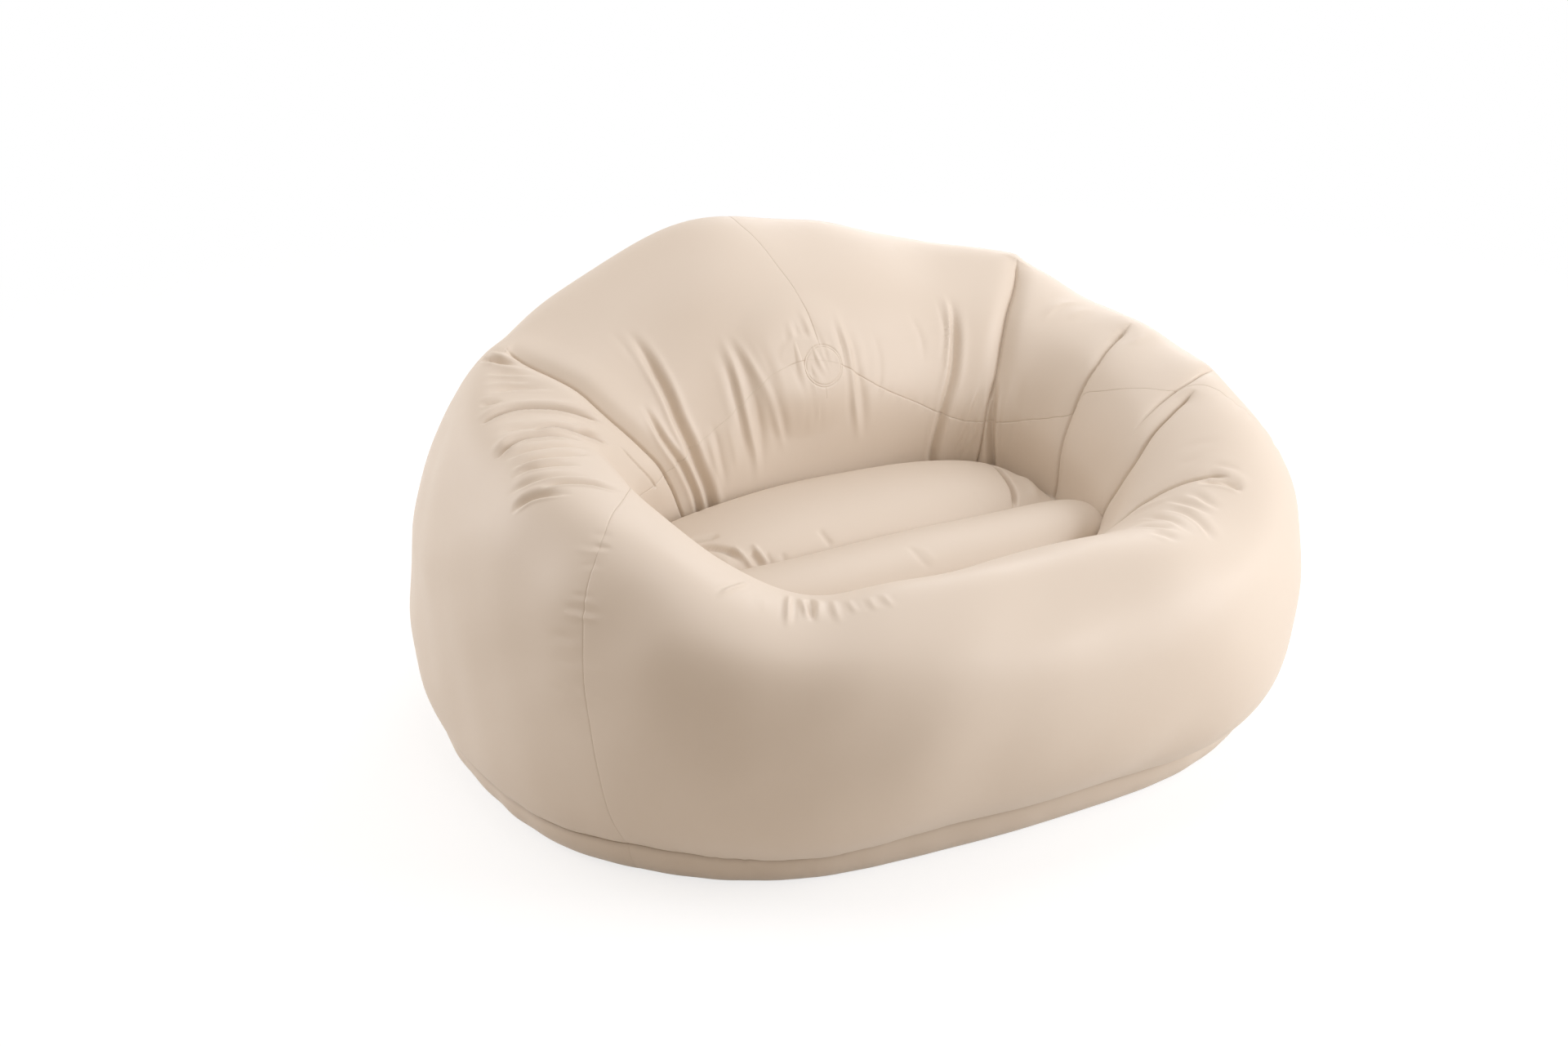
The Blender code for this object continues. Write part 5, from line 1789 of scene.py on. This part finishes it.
@dataclass
class Seat:
    """The seat panel: two tubes, their end puckers and their creases."""

    form: SeatForm
    across_cells: int = 300
    tube_cells: int = 84
    crowding: float = 0.75
    mark_width: float = 0.0006
    edge_ease: float = 0.02
    lip: float = 0.004

    def build(self) -> dict[str, bpy.types.Object]:
        """Makes the sheet, presses its folds and closes its edge.

        Rows crowd at the creases with (1 - cos) / 2 and columns at the ends by a share of a sine,
        so the steep sides of the tubes are evenly covered.

        Returns:
            The seat panel by name.
        """
        turn = (1 - np.cos(np.linspace(0, np.pi, self.tube_cells + 1))) / 2
        along = np.concatenate([turn / 2, 0.5 + turn[1:] / 2])
        even = np.linspace(0, 1, self.across_cells + 1)
        across = even - self.crowding * np.sin(2 * np.pi * even) / (2 * np.pi)
        first, second = np.meshgrid(across, along)
        points = self.form.point(first.ravel(), second.ravel())
        triangles = cell_triangles(np.arange(first.size).reshape(first.shape))
        normals = point_normals(points, triangles)
        height = np.zeros(len(points))
        for fold in seat_folds():
            fold.press(self.form, points, normals, height)
        edge = np.minimum.reduce([first.ravel(), 1 - first.ravel(), second.ravel(),
                                  1 - second.ravel()])
        height *= ramp(edge / self.edge_ease)
        points = points + normals * height[:, None]
        weld_and_shadow = np.exp(-((second.ravel() - 0.5) / self.mark_width) ** 2)
        parts = add_lip(points, triangles, point_normals(points, triangles), weld_and_shadow, self.lip)
        return {"seat_panel": surface_object("seat_panel", *parts)}


def seat_folds() -> list[Fold]:
    """The seat's gathers and its dart."""
    return [Fold(path, depth, width, fade_in=0.3, fade_out=0.25)
            for path, depth, width in SEAT_GATHERS]


@dataclass
class Underside:
    """The bottom panel: a rolled edge under the base seam and the flat that rests on the floor."""

    angles: np.ndarray
    line: np.ndarray
    roll_rows: int = 26
    flat_rows: int = 40
    # Painted shadow on the roll's top rows, under the base seam's tuck.
    shadow_rows: int = 6
    shadow_levels: tuple[float, float] = (2.2, 0.2)
    tuck: float = 0.045
    swell: float = 0.010
    waves: int = 5
    wave_counts: tuple[int, int] = (14, 46)
    wave_height: float = 0.0005
    lip: float = 0.004

    def build(self) -> dict[str, bpy.types.Object]:
        """Carries a profile round the base seam's plan.

        Down the roll, t from 0 to 1, the plan's scale is 1 - tuck t^1.6 + swell sin(pi t)^0.8 and
        the height's is (1 - t^1.15)^1.25; the flat runs in from there to one middle point in
        shrinking copies of the plan. Seeded sines of the angle ripple the roll's middle.

        Returns:
            The bottom panel by name.
        """
        turn = np.linspace(0, 1, self.roll_rows + 1)
        reach = 1 - self.tuck * turn**1.6 + self.swell * np.sin(np.pi * turn) ** 0.8
        tall = (1 - turn**1.15) ** 1.25
        inner = np.linspace(1, 0, self.flat_rows + 1)[1:-1]
        reach = np.concatenate([reach, reach[-1] * inner])
        tall = np.concatenate([tall, np.zeros(inner.size)])
        columns = len(self.line)
        plan = self.line[None, :, :2] * reach[:, None, None]
        draw = np.random.default_rng(SEED)
        wave = np.zeros(columns)
        for _ in range(self.waves):
            wave += np.sin(np.radians(self.angles) * draw.integers(*self.wave_counts)
                           + draw.uniform(0, 2 * np.pi))
        belly = np.where(np.arange(len(reach)) <= self.roll_rows,
                         np.sin(np.pi * np.clip(np.arange(len(reach)) / self.roll_rows, 0, 1)), 0)
        plan *= (1 + self.wave_height * belly[:, None] * wave[None, :])[..., None]
        height = self.line[None, :, 2] * tall[:, None]
        grid = np.concatenate([plan, height[..., None]], axis=2)
        points = np.vstack([grid.reshape(-1, 3), [[0.0, 0.0, 0.0]]])
        index = np.arange(grid.shape[0] * columns).reshape(grid.shape[0], columns)
        index = np.hstack([index, index[:, :1]])
        pole = np.full(columns, len(points) - 1)
        triangles = np.vstack([cell_triangles(index, turned=True),
                               np.column_stack([index[-1, :-1], pole, index[-1, 1:]])])
        # Painted shadow: the mask darkens the roll's top rows, where the tuck above casts its
        # shadow.
        weld_and_shadow = np.zeros(len(points))
        roll_shadow = np.linspace(*self.shadow_levels, self.shadow_rows)
        weld_and_shadow[:roll_shadow.size * columns] = np.repeat(roll_shadow, columns)
        parts = add_lip(points, triangles, point_normals(points, triangles), weld_and_shadow, self.lip)
        return {"bottom_panel": surface_object("bottom_panel", *parts)}


@dataclass(frozen=True)
class Palette:
    """The chair's finishes."""

    film: FilmFinish = FilmFinish("satin_film", (0.705, 0.622, 0.530, 1.0),
                                  (0.614, 0.519, 0.423, 1.0))
    web: FilmFinish = FilmFinish("plain_film", (0.62, 0.51, 0.40, 1.0), (0.52, 0.42, 0.32, 1.0),
                                 roughness=0.5, grain_height=0.00002)
    valve: MouldedFinish = MouldedFinish("moulded_valve", (0.56, 0.45, 0.34, 1.0),
                                         (0.47, 0.37, 0.27, 1.0))
    strap: MouldedFinish = MouldedFinish("moulded_strap", (0.58, 0.47, 0.36, 1.0),
                                         (0.50, 0.40, 0.30, 1.0), roughness=0.42)
    seal: MouldedFinish = MouldedFinish("soft_seal", (0.035, 0.033, 0.031, 1.0),
                                        (0.022, 0.021, 0.020, 1.0), roughness=0.62,
                                        grain_scale=1400.0)


@dataclass
class Armchair:
    """The whole chair: its film panels and the carried-over inner and valve pieces."""

    nodes: dict[str, bpy.types.Object]
    palette: Palette = field(default_factory=Palette)
    web_nodes: tuple[str, ...] = ("seat_web_front", "seat_web_middle", "seat_web_rear",
                                  "tie_disc_front", "tie_disc_rear", "tie_strap")
    corner_nodes: tuple[str, ...] = ("corner_web_left", "corner_web_right")
    corner_inset: float = 0.04

    def build(self) -> None:
        """Builds the panels in order and dresses everything."""
        ties = (RoundWeld.over("tie_disc_front", -1.0, shift=(0.0345, -0.014), swell=0.0,
                               offset=0.0030, ease=0.090),
                RoundWeld.over("tie_disc_rear", 1.0, swell=0.006))
        chamber = AirChamber(RingForm(), ties=ties)
        panels = chamber.build()
        seat = Seat(SeatForm(*chamber.edge(1.0)))
        underside = Underside(*chamber.edge(0.0))
        film = self.palette.film.material()
        for name, piece in {**panels, **seat.build(), **underside.build()}.items():
            piece.data.materials.append(film)
            piece.name = name + "_film"
            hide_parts(name)
            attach(piece, "chamber")
            LOG.info("%s: %d triangles", piece.name, len(piece.data.polygons))
        self._dress_nodes()

    def _dress_nodes(self) -> None:
        """Gives the webs, the tie and the valve their finishes."""
        web = self.palette.web.material()
        valve, strap = self.palette.valve.material(), self.palette.strap.material()
        seal = self.palette.seal.material()
        for name in self.corner_nodes:
            sheet = drawn_in(self.nodes[name], self.corner_inset)
            sheet.data.materials.append(web)
            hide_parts(name)
            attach(sheet, "chamber")
            LOG.info("%s: %d triangles", sheet.name, len(sheet.data.polygons))
        finishes = {name: web for name in self.web_nodes}
        finishes.update({"valve_base": valve, "valve_insert": valve, "valve_cap": valve,
                         "cap_strap": strap, "valve_seal": seal, "valve_flap": seal})
        for name, material in finishes.items():
            dress_node(self.nodes[name], material)
            LOG.info("%s: dressed in %s", name, material.name)


@dataclass(frozen=True)
class Softbox:
    """A rectangular lamp that looks at the chair."""

    name: str
    place: tuple[float, float, float]
    power: float
    size: tuple[float, float] = (2.0, 2.0)
    colour: tuple[float, float, float] = (0.973, 0.982, 1.024)
    aim: tuple[float, float, float] = (0.0, 0.0, 0.35)

    def build(self) -> None:
        """Adds the lamp."""
        light = bpy.data.lights.new(self.name, "AREA")
        light.shape = "RECTANGLE"
        light.size, light.size_y = self.size
        light.energy = self.power
        light.color = self.colour
        item = bpy.data.objects.new(self.name, light)
        item.location = self.place
        away = Vector(self.place) - Vector(self.aim)
        item.rotation_euler = away.to_track_quat("Z", "Y").to_euler()
        bpy.context.scene.collection.objects.link(item)
        LOG.info("%s: %.0f W", self.name, self.power)


@dataclass
class Studio:
    """Floor, white surround, lamps and the camera of the photograph."""

    softboxes: tuple[Softbox, ...] = (
        Softbox("front_softbox", (2.342, -2.109, 1.624), 74.0),
        Softbox("left_softbox", (-2.484, 1.941, 1.40), 41.0),
        Softbox("back_softbox", (2.229, 2.229, 1.624), 33.0),
        Softbox("top_softbox", (0.0, 0.0, 3.35), 33.0, (2.4, 2.4)),
    )
    floor_radius: float = 24.0
    floor_step: float = 6.0
    floor_drop: float = 0.0006
    floor_clear: float = 1.5
    floor_reach: float = 1.6
    floor_colour: Colour = (0.34, 0.34, 0.34, 1.0)
    floor_glow: float = 0.74
    bounce_colour: Colour = (0.83, 0.80, 0.76, 1.0)
    surround: Colour = (0.424, 0.352, 0.286, 1.0)
    lens: float = 61.875
    sensor: float = 36.0
    camera_place: tuple[float, float, float] = (-2.068, -3.419, 1.996)
    azimuth: float = -29.6
    elevation: float = 22.7

    def build(self) -> None:
        """Builds the whole studio."""
        self._floor()
        self._world()
        for softbox in self.softboxes:
            softbox.build()
        self._camera()

    def _floor(self) -> None:
        """Adds the floor, plainly lit near the chair and pure white further off."""
        rings = np.array([0.0, 1.0, 2.0, 4.0, 8.0, self.floor_radius])
        turn = np.radians(np.arange(0, FULL_TURN, self.floor_step))
        grid = np.stack([rings[:, None] * np.cos(turn), rings[:, None] * np.sin(turn),
                         np.zeros((rings.size, turn.size))], axis=2)
        index = np.arange(rings.size * turn.size).reshape(rings.size, turn.size)
        index = np.hstack([index, index[:, :1]])
        points = grid.reshape(-1, 3) - np.array([0.0, 0.0, self.floor_drop])
        floor = surface_object("studio_floor", points, cell_triangles(index, turned=True))
        floor.data.materials.append(self._floor_material())

    def _floor_material(self) -> bpy.types.Material:
        """White floor: lit paint with a glow near the chair, mixed to a plain white glow."""
        bench = MaterialBench("studio_floor")
        material = bench.finish({"Base Color": self.floor_colour, "Roughness": 0.9,
                                 "Specular IOR Level": 0.0})
        seen = bench.seen()
        glow = bench.node("ShaderNodeEmission", None,
                          {"Color": WHITE, "Strength": self.floor_glow})
        lit = bench.node("ShaderNodeAddShader", None,
                         {0: Channel(bench, bench.shader.outputs[0]), 1: glow})
        pale = bench.node("ShaderNodeBsdfDiffuse", None, {"Color": self.bounce_colour})
        near = bench.node("ShaderNodeMixShader", None, {0: seen, 1: pale, 2: lit})
        white = bench.node("ShaderNodeEmission", None, {"Color": WHITE, "Strength": 1.0})
        place = bench.node("ShaderNodeTexCoord", output="Object")
        away = bench.node("ShaderNodeVectorMath", {"operation": "LENGTH"}, {0: place},
                          output="Value")
        far = bench.node("ShaderNodeMapRange", {"interpolation_type": "SMOOTHSTEP"},
                         {"Value": away, "From Min": self.floor_clear,
                          "From Max": self.floor_clear + self.floor_reach})
        mixed = bench.node("ShaderNodeMixShader", None, {0: far * seen, 1: near, 2: white})
        bench.feed(bench.tree.nodes["Material Output"].inputs["Surface"], mixed)
        return material

    def _world(self) -> None:
        """White behind everything, and a weak even light from all round."""
        world = bpy.data.worlds.new("studio_surround")
        world.use_nodes = True
        bpy.context.scene.world = world
        bench = Bench(world.node_tree)
        back = bench.tree.nodes["Background"]
        bench.feed(back.inputs["Color"], bench.mix(self.surround, WHITE, bench.seen()))

    def _camera(self) -> None:
        """Adds the camera at the photograph's viewing angle."""
        camera = bpy.data.cameras.new("photograph_camera")
        camera.lens = self.lens
        camera.sensor_width = self.sensor
        item = bpy.data.objects.new("photograph_camera", camera)
        item.location = self.camera_place
        az, el = math.radians(self.azimuth), math.radians(self.elevation)
        forward = Vector((-math.sin(az) * math.cos(el), math.cos(az) * math.cos(el), -math.sin(el)))
        item.rotation_euler = forward.to_track_quat("-Z", "Y").to_euler()
        bpy.context.scene.collection.objects.link(item)
        bpy.context.scene.camera = item
        bpy.context.scene.view_settings.view_transform = "Standard"


def main() -> None:
    """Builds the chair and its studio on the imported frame."""
    logging.basicConfig(level=logging.INFO, format="%(name)s: %(message)s")
    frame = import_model()
    Armchair(frame["nodes"]).build()
    Studio().build()


if __name__ == "__main__":
    main()
